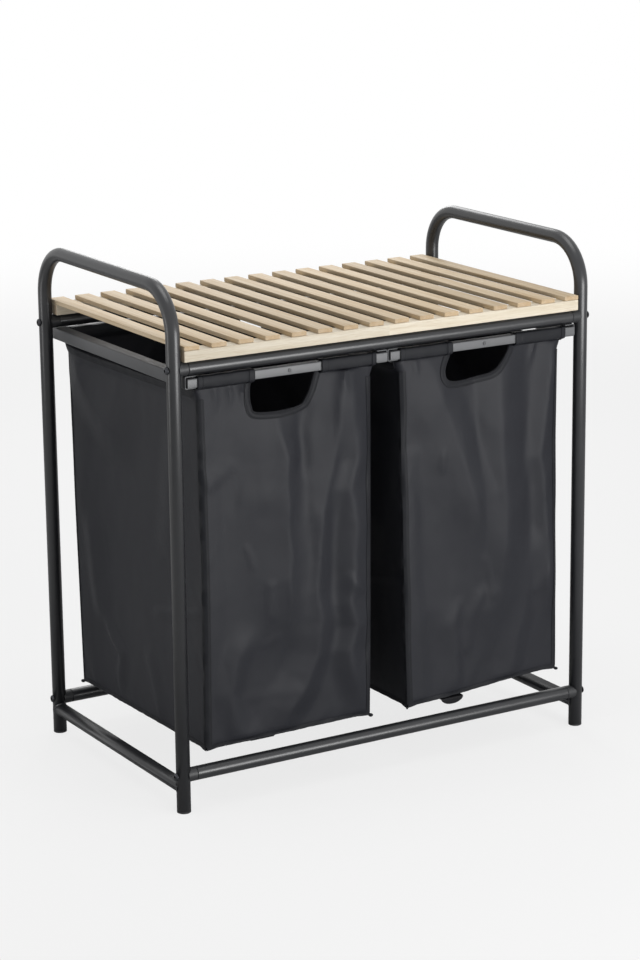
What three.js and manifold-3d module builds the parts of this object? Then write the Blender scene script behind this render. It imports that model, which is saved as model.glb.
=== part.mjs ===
// Two-bin laundry hamper on a bent steel tube frame, in millimetres.
// +Z is up, -Y is the front that the bins pull out of, and the origin is on the floor under the middle.
import * as THREE from "three";
import { mergeVertices } from "three/addons/utils/BufferGeometryUtils.js";
import Module from "manifold-3d";

// Tube frame, between the centrelines of the tubes
const LEG_SPAN = 640;
const LEG_DEPTH = 375;
const HANDLE_HEIGHT = 703;
const HANDLE_RISE = 102.5;
const LOWER_RAIL_HEIGHT = 51;
const SIDE_RAIL_HEIGHT = 35;
const TUBE_DIAMETER = 19;
const TUBE_WALL = 1;
const HANDLE_BEND_RADIUS = 62;

// Moulded end plugs of the rails
const PLUG_COLLAR_LENGTH = 9;
const PLUG_SADDLE_WRAP = 5;
const PLUG_SPIGOT_LENGTH = 24;
const PLUG_SPIGOT_CLEARANCE = 0.2;

// Socket-head bolts through the legs
const BOLT_DIAMETER = 6;
const BOLT_CLEARANCE = 0.3;
const BOLT_LENGTH = 42;
const BOLT_HEAD_DIAMETER = 10.5;
const BOLT_HEAD_HEIGHT = 3.4;
const BOLT_HEAD_RIM = 0.9;
const BOLT_SOCKET_WIDTH = 4;
const BOLT_SOCKET_DEPTH = 2;

// Foot caps in the ends of the legs
const FOOT_HEAD_HEIGHT = 3;
const FOOT_HEAD_CHAMFER = 0.8;
const FOOT_SPIGOT_LENGTH = 14;
const FOOT_SPIGOT_CLEARANCE = 0.2;

// Folded sheet channels under the upper rails
const CHANNEL_WIDTH = 16;
const CHANNEL_HEIGHT = 17;
const CHANNEL_SHEET = 1.4;
const CHANNEL_BEND_RADIUS = 2.2;
const CHANNEL_LEG_GAP = 4;
const CHANNEL_PAIR_GAP = 0.6;
const CHANNEL_FRONT_REACH = 5;
const RIVET_DIAMETER = 4;
const RIVET_CLEARANCE = 0.3;
const RIVET_HEAD_DIAMETER = 7;
const RIVET_HEAD_HEIGHT = 0.9;
const RIVET_TAIL_LENGTH = 5;

// Slatted shelf
const SLAT_COUNT = 16;
const SLAT_WIDTH = 22.5;
const SLAT_THICKNESS = 6;
const SLAT_CHAMFER = 0.7;
const BATTEN_HEIGHT = 14.7;
const BATTEN_WIDTH = 24;
const BATTEN_CHAMFER = 0.8;
const SHELF_END_GAP = 1.5;
const SHELF_REACH = 10;

// Bin frames of square tube
const BAR_WIDTH = 12;
const BAR_WALL = 1;
const BAR_SIDE_PLAY = 1;
const BAR_REACH = 8.5;
const BACK_STOP_PLAY = 0.5;
const SEAM_OFFSET = 68;
const SPIGOT_LENGTH = 100;
const SPIGOT_CLEARANCE = 0.2;
const SCREW_DIAMETER = 3.2;
const SCREW_CLEARANCE = 0.2;
const SCREW_LENGTH = 7;
const SCREW_HEAD_DIAMETER = 5;
const SCREW_HEAD_HEIGHT = 1.2;
const SCREW_HEAD_RIM = 0.4;

// Cloth bags, their sleeves round the bars and their handle cut-outs
const CLOTH = 1.2;
const SLEEVE_GAP = 0.3;
const SLEEVE_INSET = 15;
const BAG_TOP_INSET = 19.7;
const BAG_BOTTOM_INSET = 22.2;
const BAG_HEM_DROP = 14.4;
const BAG_RAIL_GAP = 18.5;
const BAG_CORNER_RADIUS = 8;
const PANEL_TOP_SETBACK = 9;
const PANEL_FRONT_SETBACK = 13.5;
const PANEL_BACK_SETBACK = 22;
const CUTOUT_TOP_WIDTH = 103;
const CUTOUT_BOTTOM_WIDTH = 80;
const CUTOUT_DEPTH = 45;
const CUTOUT_CORNER_RADIUS = 14;
const TAB_WIDTH = 36;
const TAB_DROP = 9;
const TAB_SEWN_LENGTH = 12;
const TAB_WEBBING = 1.5;
const TAB_OFFSET = 42;

// Gap between pieces that rest on each other, overrun of every cut, and the weld distance of a mesh
const SEAT_GAP = 0.3;
const OVERRUN = 3;
const WELD_DISTANCE = 0.0005;

// Numbers of facets
const ROUND_SIDES = 20;
const SMALL_SIDES = 12;
const BEND_STEPS = 7;
const DOME_STEPS = 3;
const CORNER_STEPS = 3;
const HEX_SIDES = 6;

// Places that follow from the sizes
const TUBE_RADIUS = TUBE_DIAMETER / 2;
const BORE_RADIUS = TUBE_RADIUS - TUBE_WALL;
const LEG_X = LEG_SPAN / 2;
const LEG_Y = LEG_DEPTH / 2;
const RAIL_END_X = LEG_X - TUBE_RADIUS - PLUG_COLLAR_LENGTH;
const UPPER_RAIL_HEIGHT = HANDLE_HEIGHT - HANDLE_RISE;
const RAIL_UNDERSIDE = UPPER_RAIL_HEIGHT - TUBE_RADIUS;
const CHANNEL_TOP = RAIL_UNDERSIDE - SEAT_GAP;
const CHANNEL_BOTTOM = CHANNEL_TOP - CHANNEL_HEIGHT;
const OUTER_WEB_X = LEG_X - TUBE_RADIUS - CHANNEL_LEG_GAP;
const INNER_WEB_X = CHANNEL_PAIR_GAP / 2;
const BAR_BOTTOM = CHANNEL_BOTTOM + CHANNEL_SHEET + SEAT_GAP;
const BAR_MIDDLE = BAR_BOTTOM + BAR_WIDTH / 2;
const BIN_OUTER_X = OUTER_WEB_X - CHANNEL_SHEET - BAR_SIDE_PLAY;
const BIN_INNER_X = INNER_WEB_X + CHANNEL_SHEET + BAR_SIDE_PLAY;
const BIN_X = (BIN_OUTER_X + BIN_INNER_X) / 2;
const BIN_HALF_WIDTH = (BIN_OUTER_X - BIN_INNER_X) / 2;
const BIN_HALF_DEPTH = LEG_Y + BAR_REACH;
const BAR_Y = BIN_HALF_DEPTH - BAR_WIDTH / 2;
const SLEEVE_WIDTH = BAR_WIDTH + 2 * (SLEEVE_GAP + CLOTH);
const SLEEVE_BOTTOM = BAR_MIDDLE - SLEEVE_WIDTH / 2;
const BAG_TOP_WIDTH = 2 * (BIN_HALF_WIDTH - BAG_TOP_INSET);
const BAG_BOTTOM_WIDTH = 2 * (BIN_HALF_WIDTH - BAG_BOTTOM_INSET);
const BAG_HEM_HEIGHT = BAR_BOTTOM - BAG_HEM_DROP;
const BAG_BOTTOM_HEIGHT = LOWER_RAIL_HEIGHT + TUBE_RADIUS + BAG_RAIL_GAP;

const X_AXIS = new THREE.Vector3(1, 0, 0);
const Y_AXIS = new THREE.Vector3(0, 1, 0);
const Z_AXIS = new THREE.Vector3(0, 0, 1);

const wasm = await Module();
wasm.setup();

// A closed three.js geometry as a solid that can be joined and cut
function solidOf(geometry) {
  const bare = geometry.clone();
  bare.deleteAttribute("normal");
  bare.deleteAttribute("uv");
  const merged = mergeVertices(bare, WELD_DISTANCE);
  const corners = [];
  const index = merged.index.array;
  for (let i = 0; i < index.length; i += 3) {
    const [a, b, c] = index.subarray(i, i + 3);
    if (a !== b && b !== c && c !== a) corners.push(a, b, c);
  }
  const mesh = new wasm.Mesh({
    numProp: 3,
    vertProperties: merged.attributes.position.array,
    triVerts: new Uint32Array(corners),
  });
  return new wasm.Manifold(mesh);
}

// A solid as a named mesh with its own material
function meshOf(name, solid, material) {
  const { vertProperties, triVerts } = solid.getMesh();
  const geometry = new THREE.BufferGeometry();
  geometry.setAttribute("position", new THREE.BufferAttribute(vertProperties, 3));
  geometry.setIndex(new THREE.BufferAttribute(triVerts, 1));
  geometry.computeVertexNormals();
  const mesh = new THREE.Mesh(geometry, material);
  mesh.name = name;
  return mesh;
}

// Joins a list of solids into one
function joined(solids) {
  return solids.reduce((whole, next) => whole.add(next));
}

// A cylinder between two places on a line that runs along one axis
function roundBar(radius, axis, centre, from, to, sides = ROUND_SIDES) {
  const geometry = new THREE.CylinderGeometry(radius, radius, to - from, sides);
  geometry.applyQuaternion(new THREE.Quaternion().setFromUnitVectors(Y_AXIS, axis));
  const middle = centre.clone().addScaledVector(axis, (from + to) / 2);
  geometry.translate(middle.x, middle.y, middle.z);
  return solidOf(geometry);
}

// A box between two corners
function boxBetween(low, high) {
  const size = high.clone().sub(low);
  const middle = low.clone().add(high).multiplyScalar(1 / 2);
  const geometry = new THREE.BoxGeometry(size.x, size.y, size.z);
  geometry.translate(middle.x, middle.y, middle.z);
  return solidOf(geometry);
}

// A turned piece: its profile is a list of (radius, distance along the axis) and ends on the axis
function turned(profile, axis, place, sides = SMALL_SIDES) {
  const points = profile.map(([radius, along]) => new THREE.Vector2(radius, along));
  const geometry = new THREE.LatheGeometry(points, sides);
  geometry.applyQuaternion(new THREE.Quaternion().setFromUnitVectors(Y_AXIS, axis));
  geometry.translate(place.x, place.y, place.z);
  return solidOf(geometry);
}

// An outline in the (X, Z) plane, extruded backwards from one Y to another
function extrudedAlongY(outline, fromY, toY) {
  const options = { depth: toY - fromY, bevelEnabled: false, curveSegments: CORNER_STEPS };
  const geometry = new THREE.ExtrudeGeometry(outline, options);
  geometry.applyMatrix4(new THREE.Matrix4().makeBasis(X_AXIS, Z_AXIS, Y_AXIS.clone().negate()));
  geometry.translate(0, toY, 0);
  return solidOf(geometry);
}

// An outline in the (Y, Z) plane, extruded from one X to another
function extrudedAlongX(outline, fromX, toX) {
  const options = { depth: toX - fromX, bevelEnabled: false, curveSegments: CORNER_STEPS };
  const geometry = new THREE.ExtrudeGeometry(outline, options);
  geometry.applyMatrix4(new THREE.Matrix4().makeBasis(Y_AXIS, Z_AXIS, X_AXIS));
  geometry.translate(fromX, 0, 0);
  return solidOf(geometry);
}

// A rectangle with its four corners cut off, centred on a place
function chamferedRectangle(centreX, centreY, width, height, chamfer) {
  const x = width / 2;
  const y = height / 2;
  const corners = [
    [x - chamfer, -y],
    [x, -y + chamfer],
    [x, y - chamfer],
    [x - chamfer, y],
    [-x + chamfer, y],
    [-x, y - chamfer],
    [-x, -y + chamfer],
    [-x + chamfer, -y],
  ];
  return new THREE.Shape(corners.map(([u, v]) => new THREE.Vector2(centreX + u, centreY + v)));
}

// A rectangle with four round corners, centred on the origin
function roundedRectangle(width, height, radius) {
  const x = width / 2 - radius;
  const y = height / 2 - radius;
  const quarter = Math.PI / 2;
  const shape = new THREE.Shape();
  shape.absarc(x, y, radius, 0, quarter);
  shape.absarc(-x, y, radius, quarter, 2 * quarter);
  shape.absarc(-x, -y, radius, 2 * quarter, 3 * quarter);
  shape.absarc(x, -y, radius, 3 * quarter, 4 * quarter);
  shape.closePath();
  return shape;
}

// Materials, one for each finish
function finish(color, roughness, metalness) {
  return new THREE.MeshStandardMaterial({ color, roughness, metalness, flatShading: true });
}

const blackSteel = () => finish(0x2b2c2f, 0.55, 0.4);
const greySteel = () => finish(0x66676b, 0.5, 0.4);
const blackPlastic = () => finish(0x1f2022, 0.6, 0);
const boltSteel = () => finish(0x333437, 0.35, 0.8);
const paleWood = () => finish(0xdcc7a0, 0.7, 0);
const blackCloth = () => finish(0x2d2e31, 0.8, 0);
const blackWebbing = () => finish(0x151517, 0.9, 0);

// The bent tube of a side frame follows a route of stations: straight runs take one step, bends several
class TubeRoute extends THREE.Curve {
  constructor(stations) {
    super();
    this.stations = stations;
  }

  stationAt(share) {
    return this.stations[Math.round(share * (this.stations.length - 1))];
  }

  getPointAt(share) {
    return this.stationAt(share).point.clone();
  }

  getTangentAt(share) {
    return this.stationAt(share).tangent.clone();
  }
}

// Up the front leg, over the handle and down the back leg, with the legs ending at a given height
function sideFrameRoute(x, footHeight) {
  const stations = [];
  const addStation = (y, z, turn) => {
    const tangent = new THREE.Vector3(0, Math.sin(turn), Math.cos(turn));
    stations.push({ point: new THREE.Vector3(x, y, z), tangent });
  };
  addStation(-LEG_Y, footHeight, 0);
  const bendY = LEG_Y - HANDLE_BEND_RADIUS;
  const bendZ = HANDLE_HEIGHT - HANDLE_BEND_RADIUS;
  [-bendY, bendY].forEach((centreY, bend) => {
    for (let step = 0; step <= BEND_STEPS; step += 1) {
      const turn = ((bend + step / BEND_STEPS) * Math.PI) / 2;
      const y = centreY - HANDLE_BEND_RADIUS * Math.cos(turn);
      const z = bendZ + HANDLE_BEND_RADIUS * Math.sin(turn);
      addStation(y, z, turn);
    }
  });
  addStation(LEG_Y, footHeight, Math.PI);
  return new TubeRoute(stations);
}

function bentTube(radius, route) {
  const section = new THREE.Shape().absarc(0, 0, radius, 0, 2 * Math.PI);
  const steps = route.stations.length - 1;
  const options = { steps, extrudePath: route, curveSegments: ROUND_SIDES / 2 };
  return solidOf(new THREE.ExtrudeGeometry(section, options));
}

// Side frame: the legs and handle are one bent tube, and the low side rail is welded between the legs
function sideFrame(side) {
  const x = side * LEG_X;
  const legEnd = FOOT_HEAD_HEIGHT + SEAT_GAP;
  const railPlace = new THREE.Vector3(x, 0, SIDE_RAIL_HEIGHT);
  const tube = bentTube(TUBE_RADIUS, sideFrameRoute(x, legEnd));
  const rail = roundBar(TUBE_RADIUS, Y_AXIS, railPlace, -LEG_Y, LEG_Y);
  const tubeBore = bentTube(BORE_RADIUS, sideFrameRoute(x, legEnd - OVERRUN));
  const railBore = roundBar(BORE_RADIUS, Y_AXIS, railPlace, -LEG_Y, LEG_Y);
  const cuts = [tubeBore, railBore];
  for (const y of [-LEG_Y, LEG_Y]) {
    for (const z of [LOWER_RAIL_HEIGHT, UPPER_RAIL_HEIGHT]) {
      const reach = TUBE_RADIUS + OVERRUN;
      const place = new THREE.Vector3(x, y, z);
      cuts.push(roundBar(BOLT_DIAMETER / 2 + BOLT_CLEARANCE, X_AXIS, place, -reach, reach, SMALL_SIDES));
    }
  }
  return tube.add(rail).subtract(joined(cuts));
}

// Foot cap: a thin round head as wide as the leg, with a spigot up its bore
function footCap(x, y) {
  const spigotRadius = BORE_RADIUS - FOOT_SPIGOT_CLEARANCE;
  const profile = [
    [0, 0],
    [TUBE_RADIUS - FOOT_HEAD_CHAMFER, 0],
    [TUBE_RADIUS, FOOT_HEAD_CHAMFER],
    [TUBE_RADIUS, FOOT_HEAD_HEIGHT],
    [spigotRadius, FOOT_HEAD_HEIGHT],
    [spigotRadius, FOOT_HEAD_HEIGHT + FOOT_SPIGOT_LENGTH - FOOT_HEAD_CHAMFER],
    [spigotRadius - FOOT_HEAD_CHAMFER, FOOT_HEAD_HEIGHT + FOOT_SPIGOT_LENGTH],
    [0, FOOT_HEAD_HEIGHT + FOOT_SPIGOT_LENGTH],
  ];
  return turned(profile, Z_AXIS, new THREE.Vector3(x, y, 0), ROUND_SIDES);
}

// The hole up through the underside of an upper rail for one channel's rivet
function rivetHole(centreX, y) {
  const place = new THREE.Vector3(centreX, y, UPPER_RAIL_HEIGHT);
  const radius = RIVET_DIAMETER / 2 + RIVET_CLEARANCE;
  return roundBar(radius, Z_AXIS, place, -TUBE_RADIUS - OVERRUN, 0, SMALL_SIDES);
}

// Cross rail: a straight tube, drilled from below where the channels are riveted to an upper one
function rail(y, z) {
  const place = new THREE.Vector3(0, y, z);
  const tube = roundBar(TUBE_RADIUS, X_AXIS, place, -RAIL_END_X, RAIL_END_X);
  const bore = roundBar(BORE_RADIUS, X_AXIS, place, -RAIL_END_X - OVERRUN, RAIL_END_X + OVERRUN);
  const plain = tube.subtract(bore);
  if (z !== UPPER_RAIL_HEIGHT) return plain;
  return plain.subtract(joined(CHANNELS.map(({ centreX }) => rivetHole(centreX, y))));
}

// End plug: a collar saddled to the leg, a spigot in the rail and a bore for the bolt. In an upper rail
// the rivet of the outer channel passes through the spigot too
function railPlug(side, y, z) {
  const place = new THREE.Vector3(0, y, z);
  const barFrom = (radius, near, far, sides) => {
    const ends = [side * near, side * far].sort((a, b) => a - b);
    return roundBar(radius, X_AXIS, place, ends[0], ends[1], sides);
  };
  const collarEnd = RAIL_END_X + SEAT_GAP;
  const saddleEnd = LEG_X - TUBE_RADIUS + PLUG_SADDLE_WRAP;
  const spigotEnd = RAIL_END_X - PLUG_SPIGOT_LENGTH;
  const collar = barFrom(TUBE_RADIUS, collarEnd, saddleEnd);
  const spigot = barFrom(BORE_RADIUS - PLUG_SPIGOT_CLEARANCE, spigotEnd, collarEnd + SEAT_GAP);
  const legPlace = new THREE.Vector3(side * LEG_X, y, z);
  const legCut = roundBar(TUBE_RADIUS + SEAT_GAP, Z_AXIS, legPlace, -TUBE_DIAMETER, TUBE_DIAMETER);
  const boltRadius = BOLT_DIAMETER / 2 + BOLT_CLEARANCE;
  const cuts = [legCut, barFrom(boltRadius, spigotEnd - OVERRUN, saddleEnd + OVERRUN, SMALL_SIDES)];
  if (z === UPPER_RAIL_HEIGHT) {
    const outerChannel = CHANNELS.find(({ webX }) => webX === side * OUTER_WEB_X);
    cuts.push(rivetHole(outerChannel.centreX, y));
  }
  return collar.add(spigot).subtract(joined(cuts));
}

// The profile of a screw or bolt with a domed head, from the shank's end to the top of the dome
function domedProfile(shankDiameter, shankLength, headDiameter, rimHeight, headHeight) {
  const profile = [
    [0, -shankLength],
    [shankDiameter / 2, -shankLength],
    [shankDiameter / 2, 0],
    [headDiameter / 2, 0],
  ];
  for (let step = 0; step < DOME_STEPS; step += 1) {
    const turn = ((step / DOME_STEPS) * Math.PI) / 2;
    const along = rimHeight + (headHeight - rimHeight) * Math.sin(turn);
    profile.push([(headDiameter / 2) * Math.cos(turn), along]);
  }
  profile.push([0, headHeight]);
  return profile;
}

// Bolt: a domed head with a hexagon socket outside the leg, and a shank through to the plug
function legBolt(side, y, z) {
  const seat = new THREE.Vector3(side * (LEG_X + TUBE_RADIUS + SEAT_GAP), y, z);
  const outward = X_AXIS.clone().multiplyScalar(side);
  const head = [BOLT_HEAD_DIAMETER, BOLT_HEAD_RIM, BOLT_HEAD_HEIGHT];
  const profile = domedProfile(BOLT_DIAMETER, BOLT_LENGTH, ...head);
  const socketRadius = BOLT_SOCKET_WIDTH / 2 / Math.cos(Math.PI / HEX_SIDES);
  const from = side * (BOLT_HEAD_HEIGHT - BOLT_SOCKET_DEPTH);
  const to = side * (BOLT_HEAD_HEIGHT + OVERRUN);
  const socket = roundBar(socketRadius, X_AXIS, seat, Math.min(from, to), Math.max(from, to), HEX_SIDES);
  return turned(profile, outward, seat).subtract(socket);
}

// Where the four channels hang: each web stands away from the bin that it carries, and opens towards it
const CHANNELS = [
  { name: "slide_channel_left_outer", webX: -OUTER_WEB_X, opens: 1 },
  { name: "slide_channel_left_inner", webX: -INNER_WEB_X, opens: -1 },
  { name: "slide_channel_right_inner", webX: INNER_WEB_X, opens: 1 },
  { name: "slide_channel_right_outer", webX: OUTER_WEB_X, opens: -1 },
].map((channel) => ({ ...channel, centreX: channel.webX + (channel.opens * CHANNEL_WIDTH) / 2 }));

// The folded section of a channel, with round outer and inner bends
function channelOutline({ webX, opens }) {
  const outerRadius = CHANNEL_BEND_RADIUS;
  const innerRadius = CHANNEL_BEND_RADIUS - CHANNEL_SHEET;
  const points = [];
  const addArc = (u, z, radius, fromTurn, toTurn) => {
    for (let step = 0; step <= CORNER_STEPS; step += 1) {
      const turn = fromTurn + ((toTurn - fromTurn) * step) / CORNER_STEPS;
      points.push([u + radius * Math.cos(turn), z + radius * Math.sin(turn)]);
    }
  };
  const quarter = Math.PI / 2;
  const low = CHANNEL_BOTTOM + outerRadius;
  const high = CHANNEL_TOP - outerRadius;
  points.push([CHANNEL_WIDTH, CHANNEL_TOP]);
  addArc(outerRadius, high, outerRadius, quarter, 2 * quarter);
  addArc(outerRadius, low, outerRadius, 2 * quarter, 3 * quarter);
  points.push([CHANNEL_WIDTH, CHANNEL_BOTTOM]);
  points.push([CHANNEL_WIDTH, CHANNEL_BOTTOM + CHANNEL_SHEET]);
  addArc(outerRadius, low, innerRadius, 3 * quarter, 2 * quarter);
  addArc(outerRadius, high, innerRadius, 2 * quarter, quarter);
  points.push([CHANNEL_WIDTH, CHANNEL_TOP - CHANNEL_SHEET]);
  if (opens < 0) points.reverse();
  return new THREE.Shape(points.map(([u, z]) => new THREE.Vector2(webX + opens * u, z)));
}

// Channel: the folded sheet, its end tab that stops the bin, and the two set rivets that hold it
function slideChannel(channel) {
  const frontY = -LEG_Y - CHANNEL_FRONT_REACH;
  const stopY = BIN_HALF_DEPTH + BACK_STOP_PLAY;
  const backY = stopY + CHANNEL_SHEET;
  const folded = extrudedAlongY(channelOutline(channel), frontY, backY);
  const insideWeb = channel.webX + (channel.opens * CHANNEL_SHEET) / 2;
  const flangeEdge = channel.webX + channel.opens * CHANNEL_WIDTH;
  const tab = boxBetween(
    new THREE.Vector3(Math.min(insideWeb, flangeEdge), stopY, CHANNEL_BOTTOM + CHANNEL_SHEET / 2),
    new THREE.Vector3(Math.max(insideWeb, flangeEdge), backY, CHANNEL_TOP - CHANNEL_SHEET / 2),
  );
  const flangeUnderside = CHANNEL_TOP - CHANNEL_SHEET;
  const rivets = [-LEG_Y, LEG_Y].map((y) => {
    const profile = [
      [0, flangeUnderside - RIVET_HEAD_HEIGHT],
      [RIVET_HEAD_DIAMETER / 2 - RIVET_HEAD_HEIGHT, flangeUnderside - RIVET_HEAD_HEIGHT],
      [RIVET_HEAD_DIAMETER / 2, flangeUnderside],
      [RIVET_HEAD_DIAMETER / 2, flangeUnderside + CHANNEL_SHEET / 2],
      [RIVET_DIAMETER / 2, flangeUnderside + CHANNEL_SHEET / 2],
      [RIVET_DIAMETER / 2, RAIL_UNDERSIDE + RIVET_TAIL_LENGTH],
      [0, RAIL_UNDERSIDE + RIVET_TAIL_LENGTH],
    ];
    return turned(profile, Z_AXIS, new THREE.Vector3(channel.centreX, y, 0));
  });
  return joined([folded, tab, ...rivets]);
}

// Shelf: two battens on the upper rails, and slats from front to back across them
const BATTEN_BOTTOM = UPPER_RAIL_HEIGHT + TUBE_RADIUS + SEAT_GAP;
const SHELF_END_X = LEG_X - TUBE_RADIUS - SHELF_END_GAP;
const SHELF_END_Y = LEG_Y + SHELF_REACH;

function shelfBatten(side) {
  const centreY = side * (SHELF_END_Y - BATTEN_WIDTH / 2);
  const centreZ = BATTEN_BOTTOM + BATTEN_HEIGHT / 2;
  const section = chamferedRectangle(centreY, centreZ, BATTEN_WIDTH, BATTEN_HEIGHT, BATTEN_CHAMFER);
  return extrudedAlongX(section, -SHELF_END_X, SHELF_END_X);
}

function shelfSlat(index) {
  const firstX = -SHELF_END_X + SLAT_WIDTH / 2;
  const pitch = (-2 * firstX) / (SLAT_COUNT - 1);
  const centreX = firstX + index * pitch;
  const centreZ = BATTEN_BOTTOM + BATTEN_HEIGHT + SEAT_GAP + SLAT_THICKNESS / 2;
  const section = chamferedRectangle(centreX, centreZ, SLAT_WIDTH, SLAT_THICKNESS, SLAT_CHAMFER);
  return extrudedAlongY(section, -SHELF_END_Y, SHELF_END_Y);
}

// Half of a bin frame, about the bin's own middle: the side bar, a long arm at the front whose bore
// takes the other half's spigot, and a short arm at the back that ends in a spigot
function binFrameHalf() {
  const half = BAR_WIDTH / 2;
  const inner = half - BAR_WALL;
  const spigotHalf = inner - SPIGOT_CLEARANCE;
  const bar = (size, fromX, toX, fromY, toY) =>
    boxBetween(
      new THREE.Vector3(fromX, fromY, BAR_MIDDLE - size),
      new THREE.Vector3(toX, toY, BAR_MIDDLE + size),
    );
  const outerX = -BIN_HALF_WIDTH;
  const boreX = outerX + BAR_WALL;
  const seamX = SEAM_OFFSET - SEAT_GAP / 2;
  const shoulderX = -SEAM_OFFSET - SEAT_GAP / 2;
  const spigotX = shoulderX + SPIGOT_LENGTH;
  const sideBar = bar(half, outerX, outerX + BAR_WIDTH, -BIN_HALF_DEPTH, BIN_HALF_DEPTH);
  const longArm = bar(half, outerX, seamX, -BIN_HALF_DEPTH, -BIN_HALF_DEPTH + BAR_WIDTH);
  const shortArm = bar(half, outerX, shoulderX, BIN_HALF_DEPTH - BAR_WIDTH, BIN_HALF_DEPTH);
  const spigot = bar(spigotHalf, shoulderX - BAR_WALL, spigotX, BAR_Y - spigotHalf, BAR_Y + spigotHalf);
  const sideBore = bar(inner, boreX, boreX + 2 * inner, -BAR_Y - inner, BAR_Y + inner);
  const longBore = bar(inner, boreX, seamX + OVERRUN, -BAR_Y - inner, -BAR_Y + inner);
  const shortBore = bar(inner, boreX, shoulderX - BAR_WALL, BAR_Y - inner, BAR_Y + inner);
  const core = spigotHalf - BAR_WALL;
  const spigotBore = bar(core, boreX, spigotX + OVERRUN, BAR_Y - core, BAR_Y + core);
  const holeRadius = SCREW_DIAMETER / 2 + SCREW_CLEARANCE;
  const holePlace = new THREE.Vector3(0, 0, BAR_MIDDLE);
  const longHole = roundBar(holeRadius, Y_AXIS, holePlace, -BIN_HALF_DEPTH - OVERRUN, -BAR_Y, SMALL_SIDES);
  const spigotHole = roundBar(holeRadius, Y_AXIS, holePlace, BAR_Y, BIN_HALF_DEPTH + OVERRUN, SMALL_SIDES);
  const cuts = joined([sideBore, longBore, shortBore, spigotBore, longHole, spigotHole]);
  return joined([sideBar, longArm, shortArm, spigot]).subtract(cuts);
}

// The two halves of a bin frame are alike: the right one is the left one turned end for end
function placedHalf(binX, turnedRound) {
  const half = binFrameHalf();
  const facing = turnedRound ? half.rotate([0, 0, 180]) : half;
  return facing.translate([binX, 0, 0]);
}

// Screw at the middle of the front bar, which pins the spigot inside it
function frameScrew(binX) {
  const seat = new THREE.Vector3(binX, -BIN_HALF_DEPTH - SEAT_GAP, BAR_MIDDLE);
  const head = [SCREW_HEAD_DIAMETER, SCREW_HEAD_RIM, SCREW_HEAD_HEIGHT];
  const profile = domedProfile(SCREW_DIAMETER, SCREW_LENGTH, ...head);
  return turned(profile, Y_AXIS.clone().negate(), seat);
}

// A bag's box, wide and deep at the hem and drawn in towards the bottom, thinned all round by an inset
function bagBox(inset, lowZ, highZ) {
  const bottomWidth = BAG_BOTTOM_WIDTH - 2 * inset;
  const frontBottom = -BIN_HALF_DEPTH + PANEL_FRONT_SETBACK + inset;
  const backBottom = BIN_HALF_DEPTH - PANEL_BACK_SETBACK - inset;
  const frontTop = -BIN_HALF_DEPTH + PANEL_TOP_SETBACK + inset;
  const backTop = BIN_HALF_DEPTH - PANEL_TOP_SETBACK - inset;
  const bottomDepth = backBottom - frontBottom;
  const outline = roundedRectangle(bottomWidth, bottomDepth, BAG_CORNER_RADIUS - inset);
  const options = { depth: highZ - lowZ, bevelEnabled: false, curveSegments: CORNER_STEPS };
  const geometry = new THREE.ExtrudeGeometry(outline, options);
  const panelHeight = BAG_HEM_HEIGHT - BAG_BOTTOM_HEIGHT;
  const widening = (BAG_TOP_WIDTH - BAG_BOTTOM_WIDTH) / panelHeight;
  const deepening = (backTop - frontTop - bottomDepth) / panelHeight;
  const shifting = (backTop + frontTop - backBottom - frontBottom) / 2 / panelHeight;
  const places = geometry.attributes.position;
  for (let i = 0; i < places.count; i += 1) {
    const z = lowZ + places.getZ(i);
    const rise = z - BAG_BOTTOM_HEIGHT;
    const x = places.getX(i) * (1 + (widening * rise) / bottomWidth);
    const y = places.getY(i) * (1 + (deepening * rise) / bottomDepth);
    places.setXYZ(i, x, y + (frontBottom + backBottom) / 2 + shifting * rise, z);
  }
  return solidOf(geometry);
}

// The outline of the hand hole: as wide as the bare bar, narrower and round-cornered below
function cutoutOutline() {
  const top = CUTOUT_TOP_WIDTH / 2;
  const bottom = CUTOUT_BOTTOM_WIDTH / 2;
  const lowZ = BAR_BOTTOM - CUTOUT_DEPTH;
  const highZ = BAR_MIDDLE + SLEEVE_WIDTH / 2 + OVERRUN;
  const shape = new THREE.Shape();
  shape.moveTo(-top, highZ);
  shape.lineTo(-top, BAR_BOTTOM);
  shape.lineTo(-bottom, lowZ + CUTOUT_CORNER_RADIUS);
  shape.quadraticCurveTo(-bottom, lowZ, -bottom + CUTOUT_CORNER_RADIUS, lowZ);
  shape.lineTo(bottom - CUTOUT_CORNER_RADIUS, lowZ);
  shape.quadraticCurveTo(bottom, lowZ, bottom, lowZ + CUTOUT_CORNER_RADIUS);
  shape.lineTo(top, BAR_BOTTOM);
  shape.lineTo(top, highZ);
  shape.closePath();
  return shape;
}

// A sleeve of cloth round the front or back bar
function bagSleeve(side) {
  const halfLength = BIN_HALF_WIDTH - SLEEVE_INSET;
  const loop = chamferedRectangle(side * BAR_Y, BAR_MIDDLE, SLEEVE_WIDTH, SLEEVE_WIDTH, CLOTH);
  const hollow = BAR_WIDTH + 2 * SLEEVE_GAP;
  const low = new THREE.Vector3(-halfLength - OVERRUN, side * BAR_Y - hollow / 2, BAR_MIDDLE - hollow / 2);
  const high = new THREE.Vector3(halfLength + OVERRUN, side * BAR_Y + hollow / 2, BAR_MIDDLE + hollow / 2);
  return extrudedAlongX(loop, -halfLength, halfLength).subtract(boxBetween(low, high));
}

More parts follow.
